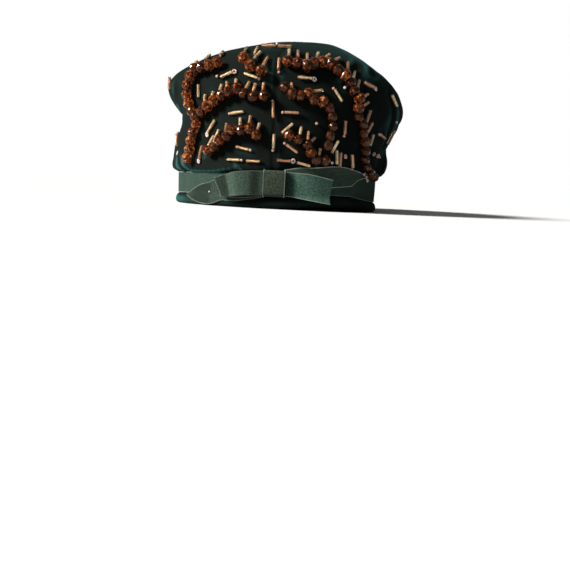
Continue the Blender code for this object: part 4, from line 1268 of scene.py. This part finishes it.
def rod_end(name, end):
    """Place beyond an end of a loose bugle, and the directions along it and out of the velvet."""
    start, stop, out = loose[name]
    along = (stop - start).normalized()
    rightward = along.x + 0.35 * along.z
    if (rightward < 0) != (end < 0):
        along = -along
    return (start + stop) / 2 + along * (stop - start).length / 2, along, out


ring_seeds, small_seeds = [], []
for name, end in RINGS_AT.items():
    place, along, out = rod_end(name, end)
    place = seated(place + along * RING_DIAMETER * RING_BEYOND, out, RING_DIAMETER * RING_SEAT)
    ring_seeds.append((place, (out + along * 0.35).normalized(), along, (RING_DIAMETER,) * 3,
                       chance.uniform(0.0, 0.35)))
for azimuth, rise, tone in LONE_RINGS:
    out = crown_frame(azimuth, rise)[2]
    place = seated(crown_place(azimuth, rise), out, RING_DIAMETER * LONE_RING_SEAT)
    ring_seeds.append((place, (out + jitter(0.4)).normalized(), jitter(1),
                       (RING_DIAMETER,) * 3, tone))
for name, end in SEEDS_AT.items():
    place, along, out = rod_end(name, end)
    place = seated(place + along * SEED_DIAMETER * SEED_SEAT, out, SEED_DIAMETER * SEED_SEAT)
    small_seeds.append((place, along, out, (SEED_DIAMETER,) * 3, chance.uniform(0.1, 0.7)))
for azimuth, rise, tone in LONE_SEEDS:
    out = crown_frame(azimuth, rise)[2]
    place = seated(crown_place(azimuth, rise), out, SEED_DIAMETER * SEED_SEAT)
    small_seeds.append((place, (out + jitter(0.6)).normalized(), jitter(1),
                        (SEED_DIAMETER,) * 3, tone))
for sewn, rows in ((small_seeds, BOW_SEEDS), (ring_seeds, BOW_RINGS)):
    for azimuth, height, out, width in rows:
        place = Vector(band_point(azimuth, out, height) + AXIS)
        facing = (place - Vector(band_point(azimuth, 0.0, height) + AXIS)).normalized()
        sewn.append((place, (facing + jitter(0.5)).normalized(), jitter(1), (width,) * 3,
                     ON_BOW_TONE))


def pearly_glass(tree):
    """Pale pink glass on the clear beads, dark amber on the others."""
    return {"Base Color": tree.add("ShaderNodeValToRGB", {"stops": [
        (0.0, (0.62, 0.52, 0.51)), (0.4, (0.52, 0.29, 0.24)), (1.0, (0.12, 0.035, 0.015))]},
        {"Fac": tree.told("tone")})}


pearl_finish = make_finish("pearly_glass", {
    "Roughness": 0.12, "Transmission Weight": 0.35, "Coat Weight": 1.0, "Coat Roughness": 0.05},
    pearly_glass)
ring_beads = grow("ring_beads", seed_mesh("rings", ring_seeds), threaded,
                  {"Bead": ring_shape, "Finish": pearl_finish})
seed_beads = grow("seed_beads", seed_mesh("seeds", small_seeds), threaded,
                  {"Bead": seed_shape, "Finish": pearl_finish})
for piece in (ring_beads, seed_beads):
    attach(piece, "root")


# Studio
# A pale floor under a soft sun from the front left, as the hat is lit in the photograph, a weak
# lamp in front for the glints in the glass, and a plain white surround.
FLOOR_HALF = 30.0
FLOOR_COLOUR = (0.42, 0.42, 0.42, 1)
SUN_STRENGTH = 15.5
SUN_AZIMUTH = -68
SUN_ELEVATION = 28
SUN_ANGLE = 14
SUN_COLOUR = (1.0, 0.98, 0.95)
FILL_STRENGTH = 0.19
GLINT_POWER = 0.5
GLINT_SIZE = 0.12
GLINT_PLACE = (-0.20, -0.70, 0.55)
GLINT_AIM = (0, 0, 0.08)
EYE_DISTANCE = 0.450
EYE_HEIGHT = 0.010
EYE_PITCH = 10.35
EYE_YAW = 1.5
EYE_ROLL = 3.0
EYE_FOCAL = 490
PICTURE_WIDTH = 570

floor = add_piece("floor", [(-FLOOR_HALF, -FLOOR_HALF, 0), (FLOOR_HALF, -FLOOR_HALF, 0),
                            (FLOOR_HALF, FLOOR_HALF, 0), (-FLOOR_HALF, FLOOR_HALF, 0)],
                  [(0, 1, 2, 3)], sharp=0)
floor.data.materials.append(make_finish("pale_floor", {
    "Base Color": FLOOR_COLOUR, "Roughness": 0.9, "Specular IOR Level": 0.1}, lambda tree: {}))

sun = bpy.data.objects.new("key", bpy.data.lights.new("key", "SUN"))
sun.data.energy = SUN_STRENGTH
sun.data.angle = radians(SUN_ANGLE)
sun.data.color = SUN_COLOUR
turn, lift = radians(SUN_AZIMUTH), radians(SUN_ELEVATION)
sun_from = Vector((sin(turn) * cos(lift), -cos(turn) * cos(lift), sin(lift)))
sun.rotation_euler = sun_from.to_track_quat("Z", "Y").to_euler()
bpy.context.collection.objects.link(sun)

lamp = bpy.data.objects.new("glint", bpy.data.lights.new("glint", "AREA"))
lamp.data.energy = GLINT_POWER
lamp.data.size = GLINT_SIZE
lamp.location = GLINT_PLACE
lamp.rotation_euler = (Vector(GLINT_PLACE) - Vector(GLINT_AIM)).to_track_quat("Z", "Y").to_euler()
bpy.context.collection.objects.link(lamp)

world = bpy.data.worlds.new("surround")
world.use_nodes = True
bpy.context.scene.world = world
sky = Strand(world.node_tree)
background = world.node_tree.nodes["Background"]
seen = sky.add("ShaderNodeLightPath", out="Is Camera Ray")
world.node_tree.links.new((seen * (1.0 - FILL_STRENGTH) + FILL_STRENGTH).socket,
                          background.inputs["Strength"])
background.inputs["Color"].default_value = (1, 1, 1, 1)

camera = bpy.data.objects.new("camera", bpy.data.cameras.new("camera"))
camera.data.sensor_width = 36
camera.data.lens = 36 * EYE_FOCAL / PICTURE_WIDTH
camera.data.clip_start = 0.01
yaw, pitch, tilt = radians(EYE_YAW), radians(EYE_PITCH), radians(EYE_ROLL)
forward = Vector((sin(yaw) * cos(pitch), cos(yaw) * cos(pitch), -sin(pitch)))
level_right = forward.cross(Vector((0, 0, 1))).normalized()
level_up = level_right.cross(forward)
right = level_right * cos(tilt) + level_up * sin(tilt)
up = level_up * cos(tilt) - level_right * sin(tilt)
camera.matrix_world = Matrix.Translation((AXIS[0], AXIS[1] - EYE_DISTANCE, EYE_HEIGHT)) @ Matrix(
    (right, up, -forward)).transposed().to_4x4()
bpy.context.collection.objects.link(camera)
bpy.context.scene.camera = camera
bpy.context.scene.view_settings.view_transform = "Standard"
